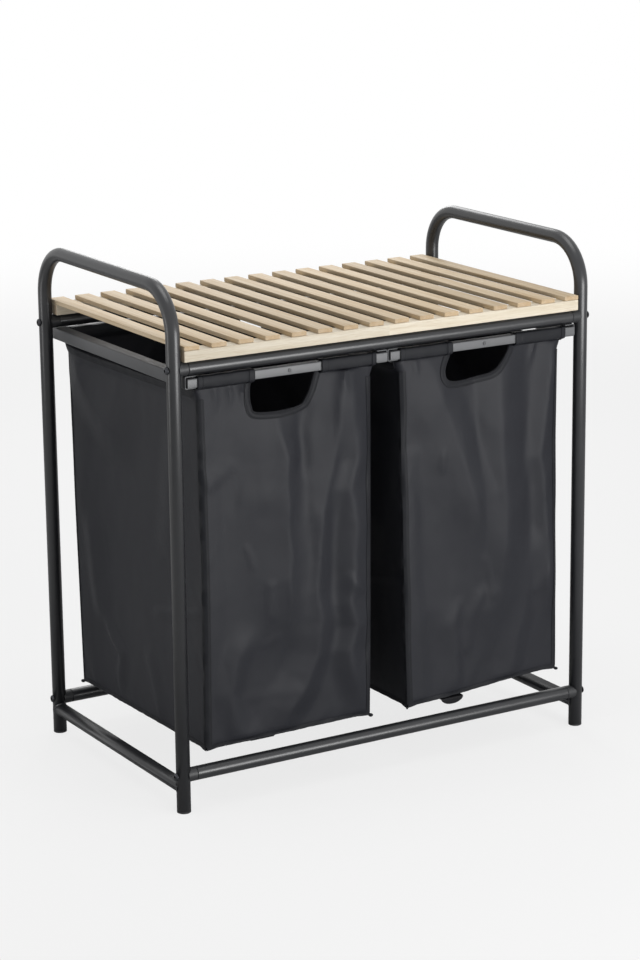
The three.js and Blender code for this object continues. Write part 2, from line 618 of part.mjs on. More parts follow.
// Bag: an open box of cloth whose front and back panels run up into the sleeves; its sides end in a hem
function bag(binX) {
  const panelTop = SLEEVE_BOTTOM + CLOTH;
  const shell = bagBox(0, BAG_BOTTOM_HEIGHT, panelTop);
  const hollow = bagBox(CLOTH, BAG_BOTTOM_HEIGHT + CLOTH, panelTop + OVERRUN);
  const sideY = BIN_HALF_DEPTH - PANEL_TOP_SETBACK - BAG_CORNER_RADIUS;
  const sideDrop = boxBetween(
    new THREE.Vector3(-BIN_HALF_WIDTH, -sideY, BAG_HEM_HEIGHT),
    new THREE.Vector3(BIN_HALF_WIDTH, sideY, BAR_BOTTOM + OVERRUN),
  );
  const panels = shell.subtract(hollow).subtract(sideDrop);
  const barInsideY = -BIN_HALF_DEPTH + BAR_WIDTH + OVERRUN;
  const handHole = extrudedAlongY(cutoutOutline(), -BIN_HALF_DEPTH - OVERRUN, barInsideY);
  const whole = joined([panels, bagSleeve(-1), bagSleeve(1)]).subtract(handHole);
  return whole.translate([binX, 0, 0]);
}

// The half-round end of a pull tab, a flat piece below its straight edge
function tabOutline() {
  const half = TAB_WIDTH / 2;
  const radius = (half * half + TAB_DROP * TAB_DROP) / (2 * TAB_DROP);
  const spread = Math.asin(half / radius);
  const shape = new THREE.Shape();
  for (let step = 0; step <= SMALL_SIDES; step += 1) {
    const turn = -Math.PI / 2 + spread * ((2 * step) / SMALL_SIDES - 1);
    const u = radius * Math.cos(turn);
    const v = radius - TAB_DROP + radius * Math.sin(turn);
    if (step === 0) shape.moveTo(u, v);
    else shape.lineTo(u, v);
  }
  shape.closePath();
  return shape;
}

// Pull tab of webbing: a strip sewn under the bag's front edge, whose half-round end hangs down in
// front or lies tucked under the bag
function pullTab(binX, hanging) {
  const frontY = -BIN_HALF_DEPTH + PANEL_FRONT_SETBACK;
  const topZ = BAG_BOTTOM_HEIGHT - SEAT_GAP;
  const half = TAB_WIDTH / 2;
  const sewn = boxBetween(
    new THREE.Vector3(-half, frontY, topZ - TAB_WEBBING),
    new THREE.Vector3(half, frontY + TAB_SEWN_LENGTH, topZ),
  );
  const end = extrudedAlongY(tabOutline(), 0, TAB_WEBBING);
  const tuckedY = frontY + TAB_SEWN_LENGTH - TAB_WEBBING / 2;
  const placedEnd = hanging
    ? end.translate([0, frontY, topZ - TAB_WEBBING / 2])
    : end.rotate([90, 0, 0]).translate([0, tuckedY, topZ - TAB_WEBBING]);
  return sewn.add(placedEnd).translate([binX - TAB_OFFSET, 0, 0]);
}

const hamper = new THREE.Group();
const SIDES = [
  ["left", -1],
  ["right", 1],
];
const ENDS = [
  ["front", -1],
  ["back", 1],
];
const LEVELS = [
  ["upper", UPPER_RAIL_HEIGHT],
  ["lower", LOWER_RAIL_HEIGHT],
];

for (const [sideName, side] of SIDES) {
  hamper.add(meshOf(`side_frame_${sideName}`, sideFrame(side), blackSteel()));
  for (const [endName, end] of ENDS) {
    const cap = footCap(side * LEG_X, end * LEG_Y);
    hamper.add(meshOf(`foot_cap_${endName}_${sideName}`, cap, blackPlastic()));
  }
}

for (const [levelName, height] of LEVELS) {
  for (const [endName, end] of ENDS) {
    const place = `${levelName}_${endName}`;
    hamper.add(meshOf(`rail_${place}`, rail(end * LEG_Y, height), blackSteel()));
    for (const [sideName, side] of SIDES) {
      const plug = railPlug(side, end * LEG_Y, height);
      const bolt = legBolt(side, end * LEG_Y, height);
      hamper.add(meshOf(`plug_${place}_${sideName}`, plug, blackPlastic()));
      hamper.add(meshOf(`bolt_${place}_${sideName}`, bolt, boltSteel()));
    }
  }
}

for (const channel of CHANNELS) {
  hamper.add(meshOf(channel.name, slideChannel(channel), greySteel()));
}

for (const [endName, end] of ENDS) {
  hamper.add(meshOf(`shelf_batten_${endName}`, shelfBatten(end), paleWood()));
}
for (let index = 0; index < SLAT_COUNT; index += 1) {
  const number = String(index + 1).padStart(2, "0");
  hamper.add(meshOf(`shelf_slat_${number}`, shelfSlat(index), paleWood()));
}

for (const [sideName, side] of SIDES) {
  const binX = side * BIN_X;
  const bin = new THREE.Group();
  bin.add(meshOf(`${sideName}_bin_frame_left`, placedHalf(binX, false), greySteel()));
  bin.add(meshOf(`${sideName}_bin_frame_right`, placedHalf(binX, true), greySteel()));
  bin.add(meshOf(`${sideName}_bin_frame_screw`, frameScrew(binX), boltSteel()));
  bin.add(meshOf(`${sideName}_bin_bag`, bag(binX), blackCloth()));
  bin.add(meshOf(`${sideName}_bin_pull_tab`, pullTab(binX, side > 0), blackWebbing()));
  hamper.add(bin);
}

export default hamper;
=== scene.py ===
# Laundry hamper with two bins: the fine form and finish of every piece, in metres
import math

import bmesh
import bpy
from mathutils import Matrix, Vector, noise


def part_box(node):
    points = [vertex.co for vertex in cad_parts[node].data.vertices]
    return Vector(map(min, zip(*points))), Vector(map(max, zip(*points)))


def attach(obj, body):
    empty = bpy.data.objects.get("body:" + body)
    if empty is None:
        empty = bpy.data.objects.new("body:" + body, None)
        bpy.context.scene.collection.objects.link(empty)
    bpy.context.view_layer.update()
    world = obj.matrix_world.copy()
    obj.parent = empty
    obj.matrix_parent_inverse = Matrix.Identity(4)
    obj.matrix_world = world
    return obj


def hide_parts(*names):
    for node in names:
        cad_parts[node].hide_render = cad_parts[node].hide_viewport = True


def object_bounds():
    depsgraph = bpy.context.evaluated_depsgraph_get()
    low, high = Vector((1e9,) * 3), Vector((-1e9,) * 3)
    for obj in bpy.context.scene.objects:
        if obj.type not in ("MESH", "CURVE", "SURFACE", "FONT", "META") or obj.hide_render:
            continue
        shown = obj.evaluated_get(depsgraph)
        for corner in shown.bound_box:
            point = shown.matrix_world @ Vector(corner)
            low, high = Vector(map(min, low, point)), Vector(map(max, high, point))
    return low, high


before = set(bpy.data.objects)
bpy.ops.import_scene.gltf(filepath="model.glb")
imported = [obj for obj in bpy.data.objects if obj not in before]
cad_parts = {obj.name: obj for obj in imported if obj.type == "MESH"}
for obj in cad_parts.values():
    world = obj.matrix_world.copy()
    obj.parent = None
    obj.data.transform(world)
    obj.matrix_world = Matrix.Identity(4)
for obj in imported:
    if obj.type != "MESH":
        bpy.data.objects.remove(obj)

cad_low, cad_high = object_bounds()

# Side frames. Each is one round steel tube, bent twice so that a leg runs up into the handle and down
# into the other leg, with a short rail welded between the legs near the floor. The finish is a dark
# powder coat with a fine grain.
MM = 0.001
WELD_DISTANCE = 0.002 * MM
ROUND_STEPS = 48
BEND_STEPS = 14
BEND_RADIUS = 62 * MM
SIDE_RAIL_HEIGHT = 35 * MM
TUBE_WALL = 1 * MM
WELD_RADIUS = 1.2 * MM
WELD_STEPS = 8
WELD_RIPPLE = 0.25 * MM
WELD_RIPPLES = 30
SHARP_ANGLE = math.radians(35)
COAT_CLOUD = 35 * MM
COAT_SHEEN = 0.07
X_AXIS = Vector((1, 0, 0))
Y_AXIS = Vector((0, 1, 0))


def screen_colour(red, green, blue):
    """A colour as it looks on a screen, from 0 to 255, as the linear colour that a shader takes."""
    shares = [level / 255 for level in (red, green, blue)]
    return tuple(s / 12.92 if s <= 0.04045 else ((s + 0.055) / 1.055) ** 2.4 for s in shares) + (1,)


def set_inputs(material, node, inputs):
    """Gives a node's inputs plain values, or links them to another node's output."""
    for name, value in inputs.items():
        if isinstance(value, bpy.types.NodeSocket):
            material.node_tree.links.new(value, node.inputs[name])
        else:
            node.inputs[name].default_value = value


def add_node(material, kind, inputs, **settings):
    """A new node, with its inputs and its settings."""
    node = material.node_tree.nodes.new("ShaderNode" + kind)
    for name, value in settings.items():
        setattr(node, name, value)
    set_inputs(material, node, inputs)
    return node


def object_place(material):
    return add_node(material, "TexCoord", {}).outputs["Object"]


def speckled(material, place, size, detail=2, distortion=0):
    """Noise with spots of about one size, as a share from 0 to 1."""
    inputs = {"Vector": place, "Scale": 1 / size, "Detail": detail, "Distortion": distortion}
    return add_node(material, "TexNoise", inputs).outputs["Fac"]


def ranged(material, value, low, high, start=0, end=1, **settings):
    """A value that runs from low to high while another runs from start to end."""
    limits = {"Value": value, "From Min": start, "From Max": end, "To Min": low, "To Max": high}
    return add_node(material, "MapRange", limits, **settings).outputs["Result"]


def mixed(material, share, first, second):
    """A colour between two others."""
    node = add_node(material, "Mix", {0: share, 6: first, 7: second}, data_type="RGBA")
    return node.outputs[2]


def bumped(material, height, depth, strength=1):
    """The slope of a surface that a height from 0 to 1 lifts by a depth."""
    inputs = {"Height": height, "Strength": strength, "Distance": depth}
    return add_node(material, "Bump", inputs).outputs["Normal"]


def new_material(name):
    material = bpy.data.materials.new(name)
    material.use_nodes = True
    return material


def finished(material, colour, roughness, slope=None, gloss=0.5, metallic=0):
    """Fills in a material's shader."""
    inputs = {
        "Base Color": colour,
        "Roughness": roughness,
        "Specular IOR Level": gloss,
        "Metallic": metallic,
    }
    if slope is not None:
        inputs["Normal"] = slope
    set_inputs(material, material.node_tree.nodes["Principled BSDF"], inputs)
    return material


def powder_coat(name, dark, light, roughness, gloss, grain_size, grain_depth):
    """Baked powder: an almost even colour, a pebbled grain, and a sheen that varies a little."""
    material = new_material(name)
    place = object_place(material)
    cloud = speckled(material, place, COAT_CLOUD, detail=4)
    colour = mixed(material, cloud, dark, light)
    sheen = ranged(material, cloud, roughness - COAT_SHEEN, roughness + COAT_SHEEN)
    slope = bumped(material, speckled(material, place, grain_size), grain_depth)
    return finished(material, colour, sheen, slope, gloss)


def add_piece(bm, name, material, body, slot, *nodes):
    """Makes a finished bmesh a piece that rides on a body and stands for its CAD nodes."""
    bmesh.ops.remove_doubles(bm, verts=bm.verts, dist=WELD_DISTANCE)
    bmesh.ops.recalc_face_normals(bm, faces=bm.faces)
    mesh = bpy.data.meshes.new(name)
    bm.to_mesh(mesh)
    bm.free()
    mesh.materials.append(material)
    mesh.shade_smooth()
    mesh.set_sharp_from_angle(angle=SHARP_ANGLE)
    piece = bpy.data.objects.new(name, mesh)
    bpy.context.scene.collection.objects.link(piece)
    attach(piece, body)
    if nodes:
        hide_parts(*nodes)
    return piece


def add_wall(piece, thickness):
    """Gives an outer skin its wall, inwards."""
    wall = piece.modifiers.new("wall", "SOLIDIFY")
    wall.thickness = thickness
    wall.offset = -1
    wall.use_even_offset = True


def carried_on(bm, edges, step):
    """Extrudes a loop of edges by a step, and returns the loop at its far end."""
    grown = bmesh.ops.extrude_edge_only(bm, edges=edges)["geom"]
    verts = [g for g in grown if isinstance(g, bmesh.types.BMVert)]
    bmesh.ops.translate(bm, verts=verts, vec=step)
    return [g for g in grown if isinstance(g, bmesh.types.BMEdge) and set(g.verts) <= set(verts)]


def bent_round(bm, edges, centre, angle):
    """Spins a loop of edges through a bend about an axis along X, and returns its last loop."""
    verts = list(dict.fromkeys(v for edge in edges for v in edge.verts))
    bend = bmesh.ops.spin(
        bm, geom=verts + edges, cent=centre, axis=X_AXIS, angle=angle, steps=BEND_STEPS, use_merge=False
    )
    return [g for g in bend["geom_last"] if isinstance(g, bmesh.types.BMEdge)]


def side_frame(side):
    node = "side_frame_" + side
    low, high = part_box(node)
    radius = (high.x - low.x) / 2
    x = (low.x + high.x) / 2
    leg_y = high.y - radius
    bend_y = leg_y - BEND_RADIUS
    bend_z = high.z - radius - BEND_RADIUS
    bm = bmesh.new()
    foot = Matrix.Translation((x, -leg_y, low.z))
    bmesh.ops.create_circle(bm, segments=ROUND_STEPS, radius=radius, matrix=foot)
    loop = carried_on(bm, bm.edges[:], (0, 0, bend_z - low.z))
    loop = bent_round(bm, loop, (x, -bend_y, bend_z), -math.pi / 2)
    loop = carried_on(bm, loop, (0, 2 * bend_y, 0))
    loop = bent_round(bm, loop, (x, bend_y, bend_z), -math.pi / 2)
    carried_on(bm, loop, (0, 0, low.z - bend_z))

    def saddle(point):
        """How far the leg's surface stands out from its middle, at a point beside it."""
        return math.sqrt(max(radius**2 - (point.x - x) ** 2, 0))

    along_y = Matrix.Translation((x, 0, SIDE_RAIL_HEIGHT)) @ Matrix.Rotation(math.pi / 2, 4, "X")
    rail = bmesh.ops.create_cone(
        bm, segments=ROUND_STEPS, radius1=radius, radius2=radius, depth=2 * leg_y, matrix=along_y
    )
    for vert in rail["verts"]:
        vert.co.y -= math.copysign(saddle(vert.co), vert.co.y)
    for end in (-1, 1):
        before = set(bm.verts)
        start = Matrix.Translation((x + radius, end * leg_y, SIDE_RAIL_HEIGHT))
        bmesh.ops.create_circle(bm, segments=WELD_STEPS, radius=WELD_RADIUS, matrix=start)
        ring = [v for v in bm.verts if v not in before]
        edges = list(dict.fromkeys(edge for v in ring for edge in v.link_edges))
        bmesh.ops.spin(
            bm,
            geom=ring + edges,
            cent=(x, end * leg_y, SIDE_RAIL_HEIGHT),
            axis=Y_AXIS,
            angle=2 * math.pi,
            steps=ROUND_STEPS,
            use_merge=True,
        )
        for vert in [v for v in bm.verts if v not in before]:
            turn = math.atan2(vert.co.x - x, vert.co.z - SIDE_RAIL_HEIGHT)
            vert.co.y -= end * (saddle(vert.co) + WELD_RIPPLE * math.sin(WELD_RIPPLES * turn))
    piece = add_piece(bm, "handle_frame_" + side, tube_coat, "frame", "frame_tube", node)
    add_wall(piece, TUBE_WALL)


tube_coat = powder_coat(
    "tube_powder_coat",
    screen_colour(31, 32, 34),
    screen_colour(38, 39, 42),
    roughness=0.32,
    gloss=0.62,
    grain_size=0.8 * MM,
    grain_depth=0.05 * MM,
)
for side in ("left", "right"):
    side_frame(side)

# Foot caps. A moulded plastic plug closes the end of each leg: a thin round head as wide as the tube,
# with a spigot up the bore. The hamper stands on the four heads.
FOOT_ROUNDING = 0.8 * MM
FOOT_HEAD_HEIGHT = 3 * MM
FOOT_SPIGOT_INSET = 1.2 * MM
ROUNDING_STEPS = 4
SPARK_GRAIN = 0.35 * MM
SPARK_DEPTH = 0.03 * MM
FLOW_MARK = 9 * MM
FLOW_SHEEN = 0.1
Z_AXIS = Vector((0, 0, 1))


def chained(bm, places):
    """Vertices at some places, with an edge from each one to the next."""
    verts = [bm.verts.new(place) for place in places]
    return verts, [bm.edges.new(pair) for pair in zip(verts, verts[1:])]


def turned(bm, profile, place, axis, steps=ROUND_STEPS):
    """Spins a profile of (radius, distance along the axis) points once round the axis."""
    turn = Z_AXIS.rotation_difference(axis).to_matrix().to_4x4()
    matrix = Matrix.Translation(place) @ turn
    verts, edges = chained(bm, [matrix @ Vector((radius, 0, along)) for radius, along in profile])
    bmesh.ops.spin(
        bm, geom=verts + edges, cent=place, axis=axis, angle=2 * math.pi, steps=steps, use_merge=True
    )


def rounded_corner(corner, start_turn, radius, steps=ROUNDING_STEPS):
    """A quarter round of a profile, about the middle of its arc, from one direction to the next."""
    turns = [math.radians(start_turn + 90 * step / steps) for step in range(steps + 1)]
    return [(corner[0] + radius * math.cos(t), corner[1] + radius * math.sin(t)) for t in turns]


def moulded_plastic(name, dark, light, roughness):
    """Black moulded plastic: a fine spark-eroded grain and faint flow marks in the gloss."""
    material = new_material(name)
    place = object_place(material)
    flow = speckled(material, place, FLOW_MARK, distortion=1.5)
    colour = mixed(material, flow, dark, light)
    sheen = ranged(material, flow, roughness - FLOW_SHEEN, roughness + FLOW_SHEEN)
    slope = bumped(material, speckled(material, place, SPARK_GRAIN, detail=3), SPARK_DEPTH)
    return finished(material, colour, sheen, slope)


plug_plastic = moulded_plastic(
    "plug_plastic", screen_colour(30, 31, 33), screen_colour(44, 45, 47), roughness=0.5
)
for side in ("left", "right"):
    for end in ("front", "back"):
        node = f"foot_cap_{end}_{side}"
        low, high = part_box(node)
        radius = (high.x - low.x) / 2
        spigot = radius - FOOT_SPIGOT_INSET
        profile = [(0, 0)]
        profile += rounded_corner((radius - FOOT_ROUNDING, FOOT_ROUNDING), -90, FOOT_ROUNDING)
        profile += [
            (radius, FOOT_HEAD_HEIGHT),
            (spigot, FOOT_HEAD_HEIGHT),
            (spigot, high.z - FOOT_ROUNDING),
            (spigot - FOOT_ROUNDING, high.z),
            (0, high.z),
        ]
        bm = bmesh.new()
        turned(bm, profile, Vector(((low.x + high.x) / 2, (low.y + high.y) / 2, 0)), Z_AXIS)
        add_piece(bm, f"foot_plug_{end}_{side}", plug_plastic, "frame", "end_plug", node)

# Cross rails. Four straight lengths of the same tube join the side frames, two high up that carry the
# shelf and the runners, and two low down. Their cut ends are lightly deburred.
DEBURR = 0.4 * MM

for level in ("upper", "lower"):
    for end in ("front", "back"):
        node = f"rail_{level}_{end}"
        low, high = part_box(node)
        radius = (high.z - low.z) / 2
        bore = radius - TUBE_WALL
        length = high.x - low.x
        profile = [
            (radius - DEBURR, 0),
            (radius, DEBURR),
            (radius, length - DEBURR),
            (radius - DEBURR, length),
            (bore, length),
            (bore, 0),
            (radius - DEBURR, 0),
        ]
        bm = bmesh.new()
        turned(bm, profile, Vector((low.x, (low.y + high.y) / 2, (low.z + high.z) / 2)), X_AXIS)
        add_piece(bm, f"cross_rail_{level}_{end}", tube_coat, "frame", "frame_tube", node)

# End plugs. Each rail ends in a moulded plug: its collar is saddled to the round of the leg, and a
# spigot behind it sits in the rail. A shallow groove shows where collar and rail meet.
COLLAR_ROUNDING = 0.7 * MM
SADDLE_GAP = 0.3 * MM
SADDLE_RINGS = 6
SPIGOT_GAP = 0.2 * MM


def sideways_span(node):
    """How near to the hamper's middle a node comes, and how far out it reaches."""
    low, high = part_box(node)
    return sorted((abs(low.x), abs(high.x)))


def rail_plug(level, end, side):
    node = f"plug_{level}_{end}_{side}"
    low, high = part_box(node)
    out = 1 if side == "right" else -1
    radius = (high.z - low.z) / 2
    place = Vector((0, (low.y + high.y) / 2, (low.z + high.z) / 2))
    inner, reach = sideways_span(node)
    leg_x = sum(sideways_span("side_frame_" + side)) / 2
    collar = sideways_span(f"rail_{level}_{end}")[1] + SADDLE_GAP
    spigot = radius - TUBE_WALL - SPIGOT_GAP
    profile = [(0, inner), (spigot - COLLAR_ROUNDING, inner), (spigot, inner + COLLAR_ROUNDING)]
    profile += [(spigot, collar), (radius - COLLAR_ROUNDING, collar)]
    profile += [(radius, collar + COLLAR_ROUNDING)]
    profile += [(radius * (1 - ring / SADDLE_RINGS), reach) for ring in range(SADDLE_RINGS + 1)]
    bm = bmesh.new()
    turned(bm, profile, place, out * X_AXIS)
    for vert in bm.verts:
        if abs(vert.co.x) > reach - WELD_DISTANCE:
            across = min(abs(vert.co.y - place.y), radius)
            hollow = math.sqrt((radius + SADDLE_GAP) ** 2 - across**2)
            vert.co.x = out * min(reach, leg_x - hollow)
    add_piece(bm, f"rail_collar_{level}_{end}_{side}", plug_plastic, "frame", "end_plug", node)


rail_ends = [
    (level, end, side)
    for level in ("upper", "lower")
    for end in ("front", "back")
    for side in ("left", "right")
]
for level, end, side in rail_ends:
    rail_plug(level, end, side)

# Bolts. A button-head bolt with a hexagon socket goes through each leg into the plug of a rail. The
# heads are black and seat flat on the outside of the leg.
SHANK_RADIUS = 3 * MM
SOCKET_WIDTH = 4 * MM
SOCKET_DEPTH = 2 * MM
HEAD_RIM = 0.8 * MM
HEAD_ROUND_STEPS = 8
SOCKET_STEPS = 24
TURNING_MARK = 0.5 * MM


def domed_head(bm, place, axis, radius, height, rim, socket_radius, socket_depth, shank):
    """A domed head with a shank behind it, given as its radius and length. socket_radius is a
    function of a turn. It gives how far the edge of the recess is from its middle there."""
    widest = max(socket_radius(2 * math.pi * step / SOCKET_STEPS) for step in range(SOCKET_STEPS))
    profile = [(0, -shank[1]), (shank[0], -shank[1]), (shank[0], 0), (radius, 0), (radius, rim)]
    for step in range(1, HEAD_ROUND_STEPS + 1):
        across = radius + (widest - radius) * math.sin(math.pi / 2 * step / HEAD_ROUND_STEPS)
        profile.append((across, rim + (height - rim) * math.sqrt(1 - (across / radius) ** 2)))
    top = profile[-1][1]
    profile += [(widest, top - socket_depth), (0, top - socket_depth)]
    before = set(bm.verts)
    turned(bm, profile, place, axis, SOCKET_STEPS)
    sideways = Z_AXIS if abs(axis.x) > 0.5 else X_AXIS
    other = axis.cross(sideways)
    for vert in [v for v in bm.verts if v not in before]:
        offset = vert.co - place
        along = offset.dot(axis)
        across = offset - axis * along
        if along > 0 and abs(across.length - widest) < WELD_DISTANCE:
            turn = math.atan2(across.dot(other), across.dot(sideways))
            vert.co = place + axis * along + across.normalized() * socket_radius(turn)


def hexagon(turn):
    """How far the edge of the hexagon socket is from its middle, in one direction."""
    sixth = math.pi / 3
    return SOCKET_WIDTH / 2 / math.cos((turn % sixth) - sixth / 2)


def black_zinc(name):
    """Blackened steel: dark, satin, with faint turning marks."""
    material = new_material(name)
    marks = speckled(material, object_place(material), TURNING_MARK, detail=4)
    colour = mixed(material, marks, screen_colour(46, 47, 50), screen_colour(66, 67, 71))
    return finished(material, colour, ranged(material, marks, 0.25, 0.45), metallic=0.75)


bolt_steel = black_zinc("bolt_black_zinc")
for level, end, side in rail_ends:
    node = f"bolt_{level}_{end}_{side}"
    low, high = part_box(node)
    out = 1 if side == "right" else -1
    seat_x = sideways_span("side_frame_" + side)[1] + SADDLE_GAP
    inner, reach = sideways_span(node)
    place = Vector((out * seat_x, (low.y + high.y) / 2, (low.z + high.z) / 2))
    radius = (high.z - low.z) / 2
    height = reach - seat_x
    shank = (SHANK_RADIUS, seat_x - inner)
    bm = bmesh.new()
    domed_head(bm, place, out * X_AXIS, radius, height, HEAD_RIM, hexagon, SOCKET_DEPTH, shank)
    add_piece(bm, f"socket_bolt_{level}_{end}_{side}", bolt_steel, "frame", "bolt", node)

# Runners. Each bin hangs in two channels of folded sheet under the upper rails, held by a rivet at
# each rail. A tab folded across the back end stops the bin. The sheet is powder-coated grey-black.
SHEET = 1.4 * MM
FOLD_RADIUS = 2.2 * MM
FOLD_STEPS = 5
RIVET_RADIUS = 3.5 * MM
RIVET_HEIGHT = 0.9 * MM
RIVET_STEPS = 5
EDGE_ROUNDING = 0.25 * MM

sheet_coat = powder_coat(
    "sheet_powder_coat",
    screen_colour(78, 79, 81),
    screen_colour(88, 89, 91),
    roughness=0.4,
    gloss=0.35,
    grain_size=0.6 * MM,
    grain_depth=0.03 * MM,
)


def round_edges(piece, width):
    """A small round on every sharp edge."""
    rounding = piece.modifiers.new("edges", "BEVEL")
    rounding.width = width
    rounding.segments = 2
    rounding.limit_method = "ANGLE"
    rounding.angle_limit = SHARP_ANGLE


def rounded_off(bm, geom, width, steps, affect="EDGES"):
    """Rounds some of a bmesh's edges or corners."""
    bmesh.ops.bevel(
        bm,
        geom=geom,
        offset=width,
        offset_type="OFFSET",
        segments=steps,
        profile=0.5,
        affect=affect,
        material=-1,
    )


def faces_inwards(piece, middle):
    """True where a skin's faces point towards a middle instead of away from it."""
    faces = piece.data.polygons
    away = sum((face.center - middle).dot(face.normal) * face.area for face in faces)
    return away < 0


def runner(name, opens):
    """One channel with its stop and rivets. Where opens is 1 it opens to the right, else to the left."""
    node = "slide_channel_" + name
    low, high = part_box(node)
    web_x, flange_x = (low.x, high.x) if opens > 0 else (high.x, low.x)
    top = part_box("rail_upper_front")[0].z - SADDLE_GAP
    bottom = low.z
    bm = bmesh.new()
    corners = [(flange_x, top), (web_x, top), (web_x, bottom), (flange_x, bottom)]
    verts = chained(bm, [(x, low.y, z) for x, z in corners])[0]
    rounded_off(bm, verts[1:3], FOLD_RADIUS, FOLD_STEPS, affect="VERTICES")
    carried_on(bm, bm.edges[:], (0, high.y - SHEET - low.y, 0))
    piece = add_piece(bm, "bin_runner_" + name, sheet_coat, "frame", "sheet_steel", node)
    if faces_inwards(piece, Vector(((low.x + high.x) / 2, 0, (top + bottom) / 2))):
        piece.data.flip_normals()
    add_wall(piece, SHEET)
    round_edges(piece, EDGE_ROUNDING)
    bm = bmesh.new()
    middle = Vector(((web_x + flange_x) / 2, high.y - SHEET / 2, (top + bottom) / 2))
    size = Vector((abs(flange_x - web_x) - SHEET, SHEET, top - bottom - SHEET, 1))
    bmesh.ops.create_cube(bm, size=1, matrix=Matrix.Translation(middle) @ Matrix.Diagonal(size))
    turns = [math.pi / 2 * step / RIVET_STEPS for step in range(RIVET_STEPS + 1)]
    dome = [(0, 0)] + [(RIVET_RADIUS * math.cos(turn), RIVET_HEIGHT * math.sin(turn)) for turn in turns]
    for rail in ("rail_upper_front", "rail_upper_back"):
        rail_low, rail_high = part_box(rail)
        turned(bm, dome, Vector((middle.x, (rail_low.y + rail_high.y) / 2, top - SHEET)), -Z_AXIS)
    piece = add_piece(bm, "runner_stop_" + name, sheet_coat, "frame", "sheet_steel")
    round_edges(piece, EDGE_ROUNDING)


for name, opens in (("left_outer", 1), ("left_inner", -1), ("right_inner", 1), ("right_outer", -1)):
    runner(name, opens)

# Shelf. Sixteen pale wooden slats lie from front to back on two battens, which rest on the upper
# rails. The wood is bare and straight-grained, with softly rounded edges; no two slats match in tone.
SLAT_COUNT = 16
WOOD_ROUNDING = 0.9 * MM
WOOD_ROUNDING_STEPS = 3
GRAIN_STRETCH = 0.035
RING_WIDTH = 6 * MM
STREAK_WIDTH = 0.7 * MM
GRAIN_DEPTH = 0.08 * MM
WOOD_ROUGHNESS = 0.62


def reckoned(material, operation, *values):
    """One step of arithmetic."""
    return add_node(material, "Math", dict(enumerate(values)), operation=operation).outputs[0]


def bare_wood(name, grain_axis, pitch, early, late):
    """Pale straight-grained wood. Each slat's tone is drawn from its place across the shelf."""
    material = new_material(name)
    coordinates = add_node(material, "TexCoord", {})
    place = coordinates.outputs["Object"]
    across = add_node(material, "SeparateXYZ", {"Vector": place}).outputs["X"]
    number = reckoned(material, "FLOOR", reckoned(material, "DIVIDE", across, pitch))
    draw = add_node(material, "TexWhiteNoise", {"W": number}, noise_dimensions="1D")
    shifted = add_node(material, "VectorMath", {0: place, 1: draw.outputs["Color"]}, operation="ADD")
    stretch = [1, 1, 1]
    stretch[grain_axis] = GRAIN_STRETCH
    fibres = add_node(material, "Mapping", {"Vector": shifted.outputs[0], "Scale": stretch}).outputs[0]
    rings = speckled(material, fibres, RING_WIDTH, detail=5, distortion=0.6)
    streaks = speckled(material, fibres, STREAK_WIDTH, detail=3)
    colour = mixed(material, ranged(material, rings, 0, 1, start=0.35, end=0.68), early, late)
    streak_share = ranged(material, streaks, 0, 0.45, start=0.5, end=0.75)
    colour = mixed(material, streak_share, colour, screen_colour(182, 156, 120))
    tone = ranged(material, draw.outputs["Value"], 0.88, 1.06)
    colour = add_node(material, "HueSaturation", {"Color": colour, "Value": tone}).outputs[0]
    normal = add_node(material, "SeparateXYZ", {"Vector": coordinates.outputs["Normal"]})
    facing = reckoned(material, "ABSOLUTE", normal.outputs[grain_axis])
    end_share = ranged(material, facing, 0, 0.55, start=0.6, end=0.95)
    colour = mixed(material, end_share, colour, screen_colour(172, 144, 108))
    slope = bumped(material, streaks, GRAIN_DEPTH, strength=0.6)
    return finished(material, colour, WOOD_ROUGHNESS, slope)


def wooden_bar(node, name, material):
    """A planed bar with rounded edges, as big as its CAD node."""
    low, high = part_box(node)
    bm = bmesh.new()
    place = Matrix.Translation((low + high) / 2)
    bmesh.ops.create_cube(bm, size=1, matrix=place @ Matrix.Diagonal((high - low).to_4d()))
    rounded_off(bm, bm.edges[:], WOOD_ROUNDING, WOOD_ROUNDING_STEPS)
    add_piece(bm, name, material, "frame", "wood", node)


slat_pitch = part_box("shelf_slat_02")[0].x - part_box("shelf_slat_01")[0].x
slat_wood = bare_wood(
    "slat_wood", 1, slat_pitch, screen_colour(222, 203, 173), screen_colour(203, 177, 139)
)
batten_wood = bare_wood(
    "batten_wood", 0, 2 * cad_high.x, screen_colour(230, 221, 203), screen_colour(216, 204, 181)
)
for number in range(1, SLAT_COUNT + 1):
    wooden_bar(f"shelf_slat_{number:02d}", f"slat_{number:02d}", slat_wood)
for end in ("front", "back"):
    wooden_bar("shelf_batten_" + end, f"{end}_batten", batten_wood)

# Bin frames. Each bin hangs on a rectangle of square steel tube in two alike halves, mitred and welded
# at the corners. A spigot on one arm pushes into the bore of the other inside the cloth sleeves.
BAR_WIDTH = 12 * MM
BAR_CORNER = 1.1 * MM
BAR_CORNER_STEPS = 3
SEAM_OFFSET = 68 * MM
SPIGOT_LENGTH = 100 * MM
SPIGOT_WIDTH = 9.6 * MM


def rounded_square(width, radius):
    """The outline of a square with round corners, as flat points about its middle."""
    side = width / 2 - radius
    points = []
    for turn, (u, v) in enumerate(((side, side), (-side, side), (-side, -side), (side, -side))):
        points += rounded_corner((u, v), 90 * turn, radius, BAR_CORNER_STEPS)
    return points


